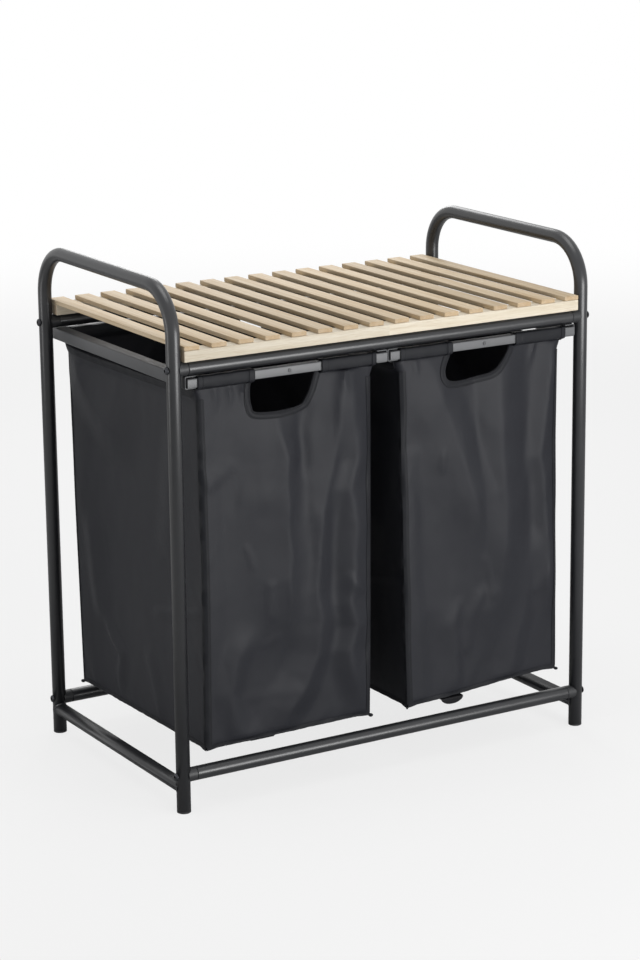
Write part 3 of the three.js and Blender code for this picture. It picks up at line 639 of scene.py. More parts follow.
def lofted(bm, rows, capped=True):
    """Carries a closed ring of places from each row to the next, as one skin, and caps its ends."""
    row = [bm.verts.new(place) for place in rows[0]]
    steps = [(start, (start + 1) % len(row)) for start in range(len(row))]
    ends = [row]
    for start, end in steps:
        bm.edges.new((row[start], row[end]))
    for places in rows[1:]:
        edges = [bm.edges.get((row[start], row[end])) for start, end in steps]
        grown = set(bmesh.ops.extrude_edge_only(bm, edges=edges)["geom"])
        row = [next(e.other_vert(v) for e in v.link_edges if e.other_vert(v) in grown) for v in row]
        for vert, place in zip(row, places):
            vert.co = place
    ends.append(row)
    if capped:
        for end in ends:
            bm.faces.new(end)


def station(place, u_step, v_step):
    """A matrix that puts an outline's first coordinate along u_step and its second along v_step."""
    matrix = Matrix.Identity(4)
    matrix.col[0][:3] = u_step
    matrix.col[1][:3] = v_step
    matrix.col[3][:3] = place
    return matrix


def swept(bm, outline, stations):
    """Carries a closed outline of flat points through a row of stations."""
    lofted(bm, [[place @ Vector((u, v, 0)) for u, v in outline] for place in stations])


def bin_frame_half(side, half):
    """One half of a bin's frame. The right one is the left one turned half round."""
    node = f"{side}_bin_frame_{half}"
    screw_low, screw_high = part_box(f"{side}_bin_frame_screw")
    bin_x = (screw_low.x + screw_high.x) / 2
    low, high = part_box(node)
    corner_x = abs((low.x if half == "left" else high.x) - bin_x) - BAR_WIDTH / 2
    bar_y = high.y - BAR_WIDTH / 2
    middle_z = (low.z + high.z) / 2
    turn = Matrix.Rotation(0 if half == "left" else math.pi, 4, "Z")
    turn = Matrix.Translation((bin_x, 0, middle_z)) @ turn
    stations = [
        station((SEAM_OFFSET, -bar_y, 0), Y_AXIS, Z_AXIS),
        station((-corner_x, -bar_y, 0), X_AXIS + Y_AXIS, Z_AXIS),
        station((-corner_x, bar_y, 0), X_AXIS - Y_AXIS, Z_AXIS),
        station((-SEAM_OFFSET, bar_y, 0), -Y_AXIS, Z_AXIS),
    ]
    bm = bmesh.new()
    swept(bm, rounded_square(BAR_WIDTH, BAR_CORNER), [turn @ s for s in stations])
    spigot = [
        station((along, bar_y, 0), -Y_AXIS, Z_AXIS)
        for along in (-SEAM_OFFSET, SPIGOT_LENGTH - SEAM_OFFSET)
    ]
    swept(bm, rounded_square(SPIGOT_WIDTH, BAR_CORNER), [turn @ s for s in spigot])
    add_piece(bm, f"{side}_bin_bar_{half}", bar_coat, side + "_bin", "sheet_steel", node)


bar_coat = powder_coat(
    "bar_powder_coat",
    screen_colour(84, 85, 87),
    screen_colour(96, 97, 99),
    roughness=0.42,
    gloss=0.5,
    grain_size=0.6 * MM,
    grain_depth=0.02 * MM,
)
for side in ("left", "right"):
    for half in ("left", "right"):
        bin_frame_half(side, half)

# Bin screws. One small pan-head screw with a cross recess sits at the middle of each front bar, where
# the hand hole leaves the bar bare, and pins the spigot inside it.
RECESS_REACH = 1.35 * MM
RECESS_WIDTH = 0.42 * MM
RECESS_DEPTH = 0.7 * MM
LEAST_SHARE = 1e-6
SCREW_RIM = 0.4 * MM
SCREW_SHANK = 1.6 * MM


def cross_recess(turn):
    """How far the edge of the cross recess is from its middle, in one direction."""
    across = max(abs(math.cos(turn)), LEAST_SHARE)
    down = max(abs(math.sin(turn)), LEAST_SHARE)
    level = min(RECESS_REACH / across, RECESS_WIDTH / down)
    upright = min(RECESS_WIDTH / across, RECESS_REACH / down)
    return max(level, upright)


for side in ("left", "right"):
    node = f"{side}_bin_frame_screw"
    low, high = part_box(node)
    bar_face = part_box(f"{side}_bin_frame_left")[0].y - SADDLE_GAP
    place = Vector(((low.x + high.x) / 2, bar_face, (low.z + high.z) / 2))
    head_radius = (high.x - low.x) / 2
    height = bar_face - low.y
    shank = (SCREW_SHANK, high.y - bar_face)
    bm = bmesh.new()
    domed_head(bm, place, -Y_AXIS, head_radius, height, SCREW_RIM, cross_recess, RECESS_DEPTH, shank)
    add_piece(bm, f"{side}_bin_screw", bar_coat, side + "_bin", "bolt", node)

# Bags. Each is sewn from black coated polyester: front, back, two sides and a bottom, all soft. It
# hangs from the bars by its front and back only, so its sides end in a hem below the bars. The cloth
# still shows the creases that it was packed with, and the right-hand bag hangs a little askew.
TOP_HALF_WIDTH = 131 * MM
BOTTOM_HALF_WIDTH = 128.5 * MM
TOP_FLARE = 5 * MM
FLARE_SHARE = 0.04
FRONT_SETBACK = (9 * MM, 13.5 * MM)
BACK_SETBACK = (9 * MM, 22 * MM)
PANEL_TOP = 574 * MM
HEM_HEIGHT = 567.5 * MM
HEM_SAG = 2.5 * MM
HEM_QUICKNESS = 14
BOTTOM_HEIGHT = 79 * MM
CLOTH = 1.2 * MM
BAG_CORNER = 4 * MM
BAG_CORNER_STEPS = 2
CROSS_PITCH = 4.2 * MM
DEEP_PITCH = 5.6 * MM
DOWN_PITCH = 4.4 * MM
EDGE_FADE = 9 * MM
CORNER_DROP = 2.5 * MM
CORNER_SPAN = 20 * MM
FOLD_TAPER = 11
CREASE_POWER = 1.4
WARP_SIZE = 45 * MM
WARP_REACH = 3 * MM
CRUMPLE_LEVEL = 0.25
PUCKER_SPAN = 12 * MM
PUCKER_PITCH = 15 * MM
PUCKER_SLANT = 0.7
PUCKER_RISE = 1.1 * MM
PUCKER_FADE = 4 * MM
BOTTOM_WAVE = 2 * MM
AT_FACE = 1e-6
THREAD = 0.8 * MM
SLUB = 2.5 * MM
CLOTH_CLOUD = 60 * MM
WEAVE_SHARE = 0.3
WEAVE_DEPTH = 0.08 * MM

bin_middle = {}
for side in ("left", "right"):
    low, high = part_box(f"{side}_bin_frame_screw")
    bin_middle[side] = (low.x + high.x) / 2
bar_low, bar_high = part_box("left_bin_frame_left")
bar_y = bar_high.y - BAR_WIDTH / 2
bar_z = (bar_low.z + bar_high.z) / 2
bar_edge = bar_high.y
bag_size = Vector((2 * TOP_HALF_WIDTH, 2 * (bar_edge - FRONT_SETBACK[0]), PANEL_TOP - BOTTOM_HEIGHT))
front_size = (bag_size.x, bag_size.z)
side_size = (bag_size.y, bag_size.z)

# How far each corner seam leans to the right of its straight line, in millimetres, at even steps from
# the top to the bottom, for the front left, front right, back left and back right seams
LEANS = {
    "left": ((-1, 0, 1.5, 1, 0), (-1, 0, 0.5, 1, 0.5), (-3, -4, -5, -5, -5), (0, 0, 1, 1, 0)),
    "right": ((-1, 2, 5, 8, 11), (-2, -1.5, 1, 4, 6), (0, 2, 4, 6, 8), (0, 0, 2, 4, 5)),
}
# How far the bottom corners lift, in millimetres, in the same order
LIFTS = {"left": (0, 2, -2, 0), "right": (0.5, 13, 0, 2)}
# Folds of the front panels. Each is a line of places, as shares across and down. Then come, in
# millimetres, how far the cloth falls away on its two sides, the left one first where the line runs
# down, and how high the cloth stands on it. The last value is how crisp the line is, from 0 to 1.
FRONT_FOLDS = {
    "left": (
        (((0.36, -0.02), (0.44, 0.12), (0.478, 0.22), (0.487, 0.40), (0.492, 0.58), (0.50, 0.82)),
         95, 34, 12.5, 0.85),
        (((0.63, 0.06), (0.58, 0.16), (0.57, 0.30)), 18, 18, -2.5, 0.2),
        (((0.83, -0.10), (0.79, 0.15), (0.745, 0.28), (0.69, 0.40), (0.67, 0.52), (0.66, 0.62),
          (0.68, 0.70), (0.66, 0.79), (0.60, 0.87), (0.50, 0.94), (0.38, 1.08)),
         50, 30, 10, 0.75),
        (((0.29, 0.67), (0.18, 0.77), (0.135, 0.86), (0.19, 0.95), (0.33, 1.08)), 30, 28, 4.4, 0.2),
        (((0.86, -0.10), (0.885, 0.14), (0.90, 0.26), (0.86, 0.34), (0.89, 0.44), (0.885, 0.58),
          (0.86, 0.66), (0.90, 0.73), (0.855, 0.80), (0.89, 0.88), (0.97, 1.06)),
         34, 32, 10.5, 0.35),
        (((1.04, 0.66), (0.92, 0.615), (0.80, 0.575)), 12, 20, 3.5, 0.5),
        (((0.48, 0.34), (0.20, 0.31)), 30, 30, 0.8, 0.1),
        (((0.20, 0.21), (0.10, 0.25), (-0.02, 0.28)), 24, 16, 1.2, 0.4),
        (((0.24, 0.44), (0.28, 0.49), (0.30, 0.53)), 8, 6, 0.9, 0.4),
        (((0.385, 0.55), (0.39, 0.68)), 16, 7, 1, 0.5),
        (((0.48, 0.555), (0.35, 0.57)), 8, 9, 0.4, 0.6),
        (((0.45, 0.715), (0.33, 0.745)), 9, 9, 0.6, 0.5),
        (((0.56, 0.885), (0.22, 0.88)), 16, 12, 0.45, 0.3),
        (((0.07, 1.02), (0.06, 0.75), (0.075, 0.55), (0.06, 0.22)), 18, 44, 1.3, 0),
        (((0.12, -0.06), (0.085, 0.075)), 6, 6, 2.6, 0.3),
        (((0.195, -0.06), (0.17, 0.08)), 6, 6, 2.8, 0.3),
        (((0.24, -0.06), (0.25, 0.075)), 6, 6, 2.6, 0.3),
        (((0.80, -0.06), (0.83, 0.085)), 8, 8, 2.4, 0.3),
    ),
    "right": (
        (((0.12, -0.08), (0.24, 0.12), (0.33, 0.26), (0.42, 0.40), (0.515, 0.64)), 80, 42, 10.5, 0.35),
        (((0.45, -0.06), (0.465, 0.20), (0.485, 0.34), (0.50, 0.46), (0.53, 0.78)), 30, 60, -5, 0.7),
        (((0.63, -0.14), (0.60, 0.18), (0.615, 0.32), (0.635, 0.45), (0.63, 0.58), (0.56, 0.94)),
         90, 57, 17, 0.4),
        (((0.97, -0.10), (0.915, 0.22), (0.875, 0.34), (0.905, 0.42), (0.92, 0.56), (0.95, 0.90)),
         30, 27, 9, 0.75),
        (((0.35, 0.70), (0.315, 0.80), (0.325, 0.88), (0.31, 1.04)), 34, 16, 4, 0.5),
        (((0.85, 0.54), (0.78, 0.80), (0.72, 0.91), (0.64, 1.08)), 40, 26, 4, 0.4),
        (((0.50, 0.59), (0.53, 0.66), (0.57, 0.75)), 12, 7, 1.2, 0.7),
        (((0.51, 0.69), (0.43, 0.78), (0.38, 0.90)), 18, 12, 1.6, 0.6),
        (((0.26, 0.26), (0.235, 0.35)), 9, 6, 1.6, 0.6),
        (((0.10, 1.02), (0.085, 0.80), (0.06, 0.60), (0.06, 0.24)), 20, 48, 1.8, 0),
        (((0.98, 0.67), (0.82, 0.76)), 16, 16, 0.8, 0.4),
        (((0.12, -0.06), (0.08, 0.075)), 6, 6, 2.4, 0.3),
        (((0.84, -0.06), (0.81, 0.08)), 6, 6, 2.4, 0.3),
    ),
}
# Folds that the side and back panels share. They are measured down, and from the front edge of a side
# panel or the left edge of the back panel as seen from behind.
PLAIN_FOLDS = (
    (((1.02, -0.05), (0.88, 0.08), (0.78, 0.14), (0.64, 0.19), (0.44, 0.22)), 110, 60, 9, 0.4),
    (((0.40, 0.68), (0.00, 0.61)), 8, 14, 2, 0.6),
    (((0.80, 0.76), (0.66, 0.86), (0.68, 1.00)), 22, 14, 4, 0.5),
    (((0.46, 0.78), (0.32, 1.00)), 26, 16, 3, 0.4),
    (((0.88, 0.45), (0.80, 0.80)), 44, 34, 4, 0.2),
    (((0.18, 0.12), (0.27, 0.52)), 60, 40, 3, 0.2),
)
# The small planes of stiff cloth: their width, height and depth in millimetres
CRUMPLES = ((80, 170, 2.4), (42, 90, 1), (19, 30, 0.25))
# How strong the planes are on each panel of a bag, and where each panel starts in the noise
CRUMPLE_SHARES = {"front": 1, "back": 0.8, "left": 0.55, "right": 0.55}
BAG_SEEDS = {"left": 1, "right": 40}
PANEL_SEEDS = {"front": 0, "back": 13, "left": 22, "right": 31}


def between(first, second, share):
    return first + (second - first) * share


def eased(share):
    """A smooth step from 0 to 1."""
    share = min(max(share, 0), 1)
    return share * share * (3 - 2 * share)


def along_row(values, share):
    """The value at a share of the way along a row of evenly spaced ones."""
    place = min(max(share, 0), 1) * (len(values) - 1)
    first = min(int(place), len(values) - 2)
    return between(values[first], values[first + 1], eased(place - first))


def at_corners(values, across, back):
    """A value between the four corners: front left, front right, back left and back right."""
    return between(between(values[0], values[1], across), between(values[2], values[3], across), back)


def bag_place(side, across, back, down):
    """The place of a point of a bag's plain shell, from its shares across, back and down."""
    half = between(TOP_HALF_WIDTH, BOTTOM_HALF_WIDTH, down)
    half += TOP_FLARE * (1 - eased(down / FLARE_SHARE))
    front_y = -bar_edge + between(*FRONT_SETBACK, down)
    back_y = bar_edge - between(*BACK_SETBACK, down)
    lean = at_corners([along_row(row, down) for row in LEANS[side]], across, back) * MM
    from_corner = min(back, 1 - back) * 2
    hem = HEM_HEIGHT - HEM_SAG * eased(from_corner)
    top = between(PANEL_TOP, hem, eased(from_corner * HEM_QUICKNESS))
    lift = at_corners(LIFTS[side], eased(across), eased(back)) * MM
    near_x = 1 - eased(min(across, 1 - across) * bag_size.x / CORNER_SPAN)
    near_y = 1 - eased(min(back, 1 - back) * bag_size.y / CORNER_SPAN)
    lift -= CORNER_DROP * near_x * near_y
    x = bin_middle[side] + between(-half, half, across) + lean
    return Vector((x, between(front_y, back_y, back), between(top, BOTTOM_HEIGHT + lift, down)))


def beside_path(point, path):
    """How far a flat point is from a path, on which side of it, and how far from the path's ends. The
    side is 1 on the left and -1 on the right of a path that runs down."""
    nearest = (math.inf, 0, 0)
    passed = 0
    for start, end in zip(path, path[1:]):
        run = end - start
        share = min(max((point - start).dot(run) / run.length_squared, 0), 1)
        offset = point - start - run * share
        if offset.length < nearest[0]:
            hand = run.cross(offset) / run.length / max(offset.length, WELD_DISTANCE)
            nearest = (offset.length, hand, passed + share * run.length)
        passed += run.length
    return nearest[0], nearest[1], min(nearest[2], passed - nearest[2])


def sized_folds(folds, size):
    """A table of folds in metres, for a panel of a width and a height."""
    sized = []
    for path, left, right, rise, crisp in folds:
        places = [Vector((u * size[0], v * size[1])) for u, v in path]
        sized.append((places, left * MM, right * MM, rise * MM, crisp))
    return sized


def fold_height(folds, size, crumple, across, down, seed):
    """How far the cloth stands out at a share across and down a panel: its creases and its waves."""
    spot = Vector((across * size[0], down * size[1]))
    edge = min(spot.x, size[0] - spot.x, spot.y + EDGE_FADE / 2, size[1] - spot.y)
    if edge <= 0:
        return 0
    warp = Vector((spot.x / WARP_SIZE, spot.y / WARP_SIZE, seed))
    bent = spot + WARP_REACH * Vector((noise.noise(warp), noise.noise(warp + Vector((9, 4, 2)))))
    height = 0
    for path, left, right, rise, crisp in folds:
        away, hand, from_end = beside_path(bent, path)
        rest = 1 - away / between(right, left, (hand + 1) / 2)
        if rest > 0:
            fade = eased(from_end / (FOLD_TAPER * abs(rise)))
            height += rise * fade * between(eased(rest), rest**CREASE_POWER, crisp)
    for number, (wide, tall, rise) in enumerate(CRUMPLES):
        place = Vector((bent.x / (wide * MM), bent.y / (tall * MM), seed + 7 * number))
        height += crumple * rise * MM * (CRUMPLE_LEVEL - abs(noise.noise(place)))
    along = (spot.x + spot.y * PUCKER_SLANT) / PUCKER_PITCH
    pucker = PUCKER_RISE * math.exp(-edge / PUCKER_SPAN) * noise.noise(Vector((along, seed, 3)))
    return height * eased(edge / EDGE_FADE) + pucker * eased(edge / PUCKER_FADE)


panels = {}
for side, bag_seed in BAG_SEEDS.items():
    for name, panel_seed in PANEL_SEEDS.items():
        size = front_size if name in ("front", "back") else side_size
        folds = sized_folds(FRONT_FOLDS[side] if name == "front" else PLAIN_FOLDS, size)
        panels[side, name] = (folds, size, CRUMPLE_SHARES[name], bag_seed + panel_seed)


def standing_out(side, name, across, down):
    folds, size, crumple, seed = panels[side, name]
    return fold_height(folds, size, crumple, across, down, seed)


def outwards(across, back, down):
    """The direction away from the bag, which turns round its soft corners."""
    distances = (
        across * bag_size.x,
        (1 - across) * bag_size.x,
        back * bag_size.y,
        (1 - back) * bag_size.y,
        (1 - down) * bag_size.z,
    )
    near = [1 - min(distance / BAG_CORNER, 1) for distance in distances]
    return Vector((near[1] - near[0], near[3] - near[2], -near[4])).normalized()


def skin(side, across, back, down, proud=0):
    """A place on a bag's outer face, with its folds, and proud of it by a distance."""
    rise = 0
    if back < AT_FACE:
        rise = standing_out(side, "front", across, down)
    elif back > 1 - AT_FACE:
        rise = standing_out(side, "back", 1 - across, down)
    elif across < AT_FACE:
        rise = standing_out(side, "left", back, down)
    elif across > 1 - AT_FACE:
        rise = standing_out(side, "right", back, down)
    elif down > 1 - AT_FACE:
        middle = 4 * min(across, 1 - across) * min(back, 1 - back)
        wave = noise.noise(Vector((across * 3, back * 4, bin_middle[side] * 9)))
        rise = BOTTOM_WAVE * middle * (1 - 2 * wave)
    return bag_place(side, across, back, down) + outwards(across, back, down) * (rise + proud)


def cut_between(bm, axis, cuts):
    """Divides every edge that runs along one axis."""
    chosen = []
    for edge in bm.edges:
        run = edge.verts[1].co - edge.verts[0].co
        if all(abs(run[other]) < WELD_DISTANCE for other in range(3) if other != axis):
            chosen.append(edge)
    bmesh.ops.subdivide_edges(bm, edges=chosen, cuts=cuts)


def bag_cloth(name, base, crease):
    """Plain-woven polyester with a thin coating: the threads show as a fine check of highlights."""
    material = new_material(name)
    uv = add_node(material, "TexCoord", {}).outputs["UV"]
    threads = add_node(material, "SeparateXYZ", {"Vector": uv})
    waves = []
    for direction in ("X", "Y"):
        phase = reckoned(material, "MULTIPLY", threads.outputs[direction], 2 * math.pi / THREAD)
        waves.append(reckoned(material, "SINE", phase))
    slub = speckled(material, uv, SLUB, detail=4)
    cloud = speckled(material, uv, CLOTH_CLOUD, detail=5)
    weave = reckoned(material, "MULTIPLY", *waves)
    height = reckoned(material, "MULTIPLY_ADD", weave, WEAVE_SHARE, slub)
    slope = bumped(material, height, WEAVE_DEPTH, strength=0.6)
    colour = mixed(material, cloud, base, crease)
    return finished(material, colour, ranged(material, cloud, 0.45, 0.54), slope, gloss=0.2)


black_cloth = bag_cloth("bag_cloth", screen_colour(30, 31, 36), screen_colour(36, 37, 42))

# The hand hole's edge, about the bin's middle, in millimetres across and up from the floor
HAND_HOLES = {
    "left": (
        (-53, 592), (-54, 575), (-56, 560), (-54.5, 540), (-44, 529), (15, 529), (30, 541), (41, 569),
        (49, 592),
    ),
    "right": (
        (-50, 592), (-50, 575), (-61, 550), (-56, 536), (-36, 532), (-6, 535), (19, 542), (40, 565),
        (54, 592),
    ),
}
CURVE_STEPS = 8


def smooth_line(points, steps):
    """A curve through flat points, with round stretches between them."""
    line = []
    padded = [points[0], *points, points[-1]]
    for before, start, end, after in zip(padded, padded[1:], padded[2:], padded[3:]):
        for step in range(steps):
            share = step / steps
            linear = (end - before) * share
            square = (2 * before - 5 * start + 4 * end - after) * share**2
            cube = (3 * start - before - 3 * end + after) * share**3
            line.append(start + (linear + square + cube) / 2)
    return line + [points[-1]]


def hand_hole_line(side):
    """The hand hole's edge as flat places: across, and height."""
    points = [Vector((bin_middle[side] + x * MM, z * MM)) for x, z in HAND_HOLES[side]]
    return smooth_line(points, CURVE_STEPS)


def inside_hole(line, x, z):
    """True for a place within the hand hole, by counting the edges to its right."""
    crossings = 0
    for start, end in zip(line, line[1:] + line[:1]):
        if (start.y > z) != (end.y > z):
            if x < start.x + (z - start.y) / (end.y - start.y) * (end.x - start.x):
                crossings += 1
    return crossings % 2 == 1


def bag_shell(side):
    """The whole bag's outer skin, folded and creased, with its hand hole cut."""
    bm = bmesh.new()
    bmesh.ops.create_cube(bm, size=1, matrix=Matrix.Diagonal(bag_size.to_4d()))
    bmesh.ops.delete(bm, geom=[f for f in bm.faces if f.normal.z > 0.9], context="FACES_ONLY")
    corners = [e for e in bm.edges if min(v.co.z for v in e.verts) < 0]
    rounded_off(bm, corners, BAG_CORNER, BAG_CORNER_STEPS)
    for axis, pitch in enumerate((CROSS_PITCH, DEEP_PITCH, DOWN_PITCH)):
        cut_between(bm, axis, round(bag_size[axis] / pitch) - 1)
    uv_layer = bm.loops.layers.uv.new("UVMap")
    for face in bm.faces:
        flat = max(range(3), key=lambda axis: abs(face.normal[axis]))
        first, second = [axis for axis in range(3) if axis != flat]
        for loop in face.loops:
            loop[uv_layer].uv = (loop.vert.co[first] + bag_size.x, loop.vert.co[second] + bag_size.z)
    for vert in bm.verts:
        across, back, up = [vert.co[axis] / bag_size[axis] + 0.5 for axis in range(3)]
        vert.co = skin(side, across, back, 1 - up)
    line = hand_hole_line(side)
    gone = []
    for face in bm.faces:
        centre = face.calc_center_median()
        if centre.y < BAR_WIDTH - bar_y and inside_hole(line, centre.x, centre.z):
            gone.append(face)
    rim = {v for f in gone for v in f.verts}
    bmesh.ops.delete(bm, geom=gone, context="FACES")
    for vert in rim:
        if vert.is_valid and vert.co.z < PANEL_TOP - MM:
            flat = Vector((vert.co.x, vert.co.z))
            vert.co.x, vert.co.z = min(line, key=lambda place: (place - flat).length)
    node = side + "_bin_bag"
    piece = add_piece(bm, side + "_laundry_bag", black_cloth, side + "_bin", "bag_cloth", node)
    add_wall(piece, CLOTH)
    return piece


# Trim of the bags. The front and back panels are turned over into sleeves for the bars. Tape binds the
# hand hole and folds over every seam, the side panels' tops are hemmed, and black thread holds it all.
BACK_SLEEVE_END = 135.5 * MM
SLEEVE_CLOTH = 1.1 * MM
SLEEVE_STEP = 3 * MM
SLEEVE_TOP = 8.1 * MM
SLEEVE_WAVE = 17 * MM
SLEEVE_WAVE_TURN = 0.35
SLEEVE_WAVE_RISE = 0.5 * MM
SLEEVE_SMOOTH_BELOW = -9
CUFF = 7 * MM
CUFF_RISE = 0.55 * MM
CUFF_LIP = 0.8 * MM
CUFF_CUTS = (0.4 * MM, 0.9 * MM)
GROOVE = (-0.7 * MM, 1 * MM)
GROOVE_DEPTH = 0.2 * MM
GROOVE_CUTS = (-0.8 * MM, -0.5 * MM, 0.9 * MM, 1.2 * MM)
TAPE_WIDTH = 9 * MM
RIB = 0.9 * MM
RIB_DEPTH = 0.1 * MM
TRIM_CLOUD = 14 * MM
TRIM_SHEEN = 0.08
SEAM_STEP = 5 * MM
SEAM_SHARES = (0.035, 0.992)
LIP_SHARES = (0.008, 0.992)
LIP_RIPPLE = 12 * MM
LIP_RIPPLE_SHARE = 0.3
HEM_SHARES = (0.016, 0.984)
HOLE_TAPE_TOP = PANEL_TOP + 2 * MM
AIMING_STEPS = 5
EAR_PROUD = 0.6 * MM
EAR_SHARES = (1, 0.7, 0.75)
EAR_STEPS = (14, 10)
STITCH_PITCH = 3.6 * MM
STITCH_SIZE = Vector((2.7, 0.6, 0.4)) * MM
STITCH_PROUD = 0.4 * MM
SLEEVE_STITCH = (1 * MM, -9.6 * MM)
SLEEVE_STITCH_FACING = (0.5, -0.8)
SEAM_STITCH_INSET = 7.3 * MM
SEAM_STITCH_SHARES = (0.04, 0.985)
HEM_STITCH_INSET = 8.9 * MM
HEM_STITCH_SHARES = (0.025, 0.975)
HOLE_STITCH_INSETS = (1.8 * MM, 7.6 * MM)
HOLE_STITCH_PROUD = 0.55 * MM
HOLE_STITCH_TOP = PANEL_TOP - 3 * MM

# Where the two front sleeves of a bag start and end, from the bin's middle
SLEEVE_ENDS = {
    "left": (-136.9 * MM, -52.6 * MM, 48.4 * MM, 132.7 * MM),
    "right": (-136 * MM, -52 * MM, 51.1 * MM, 134 * MM),
}
# The sleeve's outline about the bar's middle, in millimetres out from the bag and up
SLEEVE_OUTLINE = (
    (-2.2, -11.6), (-1.2, -10.9), (1.8, -9.3), (5, -8), (6.7, -7), (7.5, -5), (7.7, 0), (7.5, 5),
    (6.8, 6.8), (5, 7.5), (0, 7.6), (-5, 7.5), (-6.8, 6.8), (-7.5, 5), (-7.6, 0), (-7.5, -5),
    (-6.9, -7.2), (-5.8, -9.4), (-5, -11.6),
)
# Tape laid over an upright seam: its place along the front and the side from the corner, and how far
# proud of the cloth it stands, in millimetres
SEAM_TAPE = (
    (8.8, 0, -0.5), (8.6, 0, 0.45), (7.3, 0, 0.3), (6.0, 0, 0.85), (4.0, 0, 0.9), (1.17, 1.17, 1.0),
    (0, 4.0, 0.9), (0, 5.2, 0.6), (0, 5.6, -0.5), (0, 4.0, -0.5), (1.17, 1.17, -0.5), (4.0, 0, -0.5),
)
# The bound lip of a bottom seam, in the same way: up the panel, in under the bag, and proud
BOTTOM_LIP = (
    (5.4, 0, -0.5), (5.2, 0, 0.4), (4.0, 0, 0.7), (2.4, 0.5, 1.3), (1.5, 0.8, 2.3), (0.8, 1.5, 2.3),
    (0.5, 2.4, 1.3), (0, 4.0, 0.7), (0, 5.0, -0.5), (1.17, 1.17, -0.5),
)
# The hem and the hand hole's tape go round the cloth's edge: in from it, and proud of the outer face
HEM_FOLD = (
    (10.6, -0.4), (10.3, 0.5), (8.9, 0.3), (7.6, 0.75), (1.5, 0.8), (0.2, 0.5), (-0.6, -0.6),
    (0.2, -1.7), (1.5, -2), (10.2, -1.9), (10.6, -1),
)
HOLE_TAPE = (
    (9.0, -0.4), (8.7, 0.6), (7.6, 0.4), (6.4, 0.95), (3.0, 1.0), (1.8, 0.5), (0.6, 0.95), (-0.3, 0.6),
    (-0.8, -0.6), (-0.3, -1.8), (1.0, -2.2), (8.6, -2.0), (9.0, -1.0),
)
# How large the ears of the seams are at the bottom corners, in millimetres
EARS = {"left": (0.5, 3.4, 3.2, 2.4), "right": (2.2, 3.0, 2.6, 2.4)}


def on_front(side, x, z, proud):
    """The place on a front panel's outer face at a distance across and a height."""
    across = down = 0.5
    for _ in range(AIMING_STEPS):
        left, right = [bag_place(side, hand, 0, down) for hand in (0, 1)]
        across = (x - left.x) / (right.x - left.x)
        down += (bag_place(side, across, 0, down).z - z) / bag_size.z
    return skin(side, across, 0, down, proud)


def cuff_rise(distance, width):
    """How far a folded end stands out, at a distance from it: a lip, a band and a stitched groove."""
    if distance > width + GROOVE[1]:
        return 0
    if distance > width + GROOVE[0]:
        return -GROOVE_DEPTH
    return CUFF_RISE * eased(distance / CUFF_LIP)


def cuts_along(start, end, step, extra=()):
    """Even places between two ends, with some extra ones near each end."""
    count = max(round((end - start) / step), 2)
    places = [between(start, end, number / count) for number in range(count + 1)]
    places += [start + distance for distance in extra] + [end - distance for distance in extra]
    return sorted(set(places))


def sleeve(bm, side, end, start_x, end_x, widths):
    """The turned-over cloth round one length of a bar. end is -1 at the front and 1 at the back."""
    extra = list(CUFF_CUTS)
    for width in widths:
        extra += [width + cut for cut in GROOVE_CUTS]
    rows = []
    for x in cuts_along(start_x, end_x, SLEEVE_STEP, extra):
        rise = cuff_rise(x - start_x, widths[0]) + cuff_rise(end_x - x, widths[1])
        row = []
        for number, (u, v) in enumerate(SLEEVE_OUTLINE):
            out = Vector((u, v)) * MM
            wave = 0
            if v > SLEEVE_SMOOTH_BELOW:
                place = Vector((x / SLEEVE_WAVE, number * SLEEVE_WAVE_TURN, end * 3))
                wave = SLEEVE_WAVE_RISE * noise.noise(place)
            out += out.normalized() * (rise + wave)
            height = bar_z + min(out.y, SLEEVE_TOP)
            row.append(Vector((bin_middle[side] + x, end * (bar_y + out.x), height)))
        rows.append(row)
    lofted(bm, rows, capped=False)


def seam_tape(bm, side, across_end, back_end):
    """Tape over one upright corner seam, from the hem to the bottom."""
    rows = []
    for down in cuts_along(*SEAM_SHARES, SEAM_STEP / bag_size.z):
        row = []
        for along_front, along_side, proud in SEAM_TAPE:
            across = abs(across_end - along_front * MM / bag_size.x)
            back = abs(back_end - along_side * MM / bag_size.y)
            row.append(skin(side, across, back, down, proud * MM))
        rows.append(row)
    lofted(bm, rows)


def bottom_lip(bm, side, runs_across, far):
    """The bound lip of one bottom seam. It runs across the bag or from front to back."""
    length, width = (bag_size.x, bag_size.y) if runs_across else (bag_size.y, bag_size.x)
    rows = []
    for along in cuts_along(*LIP_SHARES, SEAM_STEP / length):
        place = Vector((along * length / LIP_RIPPLE, far * 3, runs_across))
        ripple = 1 + LIP_RIPPLE_SHARE * noise.noise(place)
        row = []
        for up, under, proud in BOTTOM_LIP:
            edge = abs(far - under * MM / width)
            across, back = (along, edge) if runs_across else (edge, along)
            row.append(skin(side, across, back, 1 - up * MM / bag_size.z, proud * ripple * MM))
        rows.append(row)
    lofted(bm, rows)


def side_hem(bm, side, hand):
    """The folded hem along the top of one side panel."""
    rows = []
    for back in cuts_along(*HEM_SHARES, SEAM_STEP / bag_size.y):
        row = []
        for edge, proud in HEM_FOLD:
            row.append(skin(side, hand, back, edge * MM / bag_size.z, proud * MM))
        rows.append(row)
    lofted(bm, rows)


def round_hole(side, inset, proud, top):
    """Places round a hand hole up to a height, in from its edge and proud of the cloth."""
    line = hand_hole_line(side)
    places = []
    for before, place, after in zip(line[:1] + line, line, line[1:] + line[-1:]):
        if place.y < top:
            run = (after - before).normalized()
            spot = place + Vector((run.y, -run.x)) * inset
            places.append(on_front(side, spot.x, spot.y, proud))
    return places


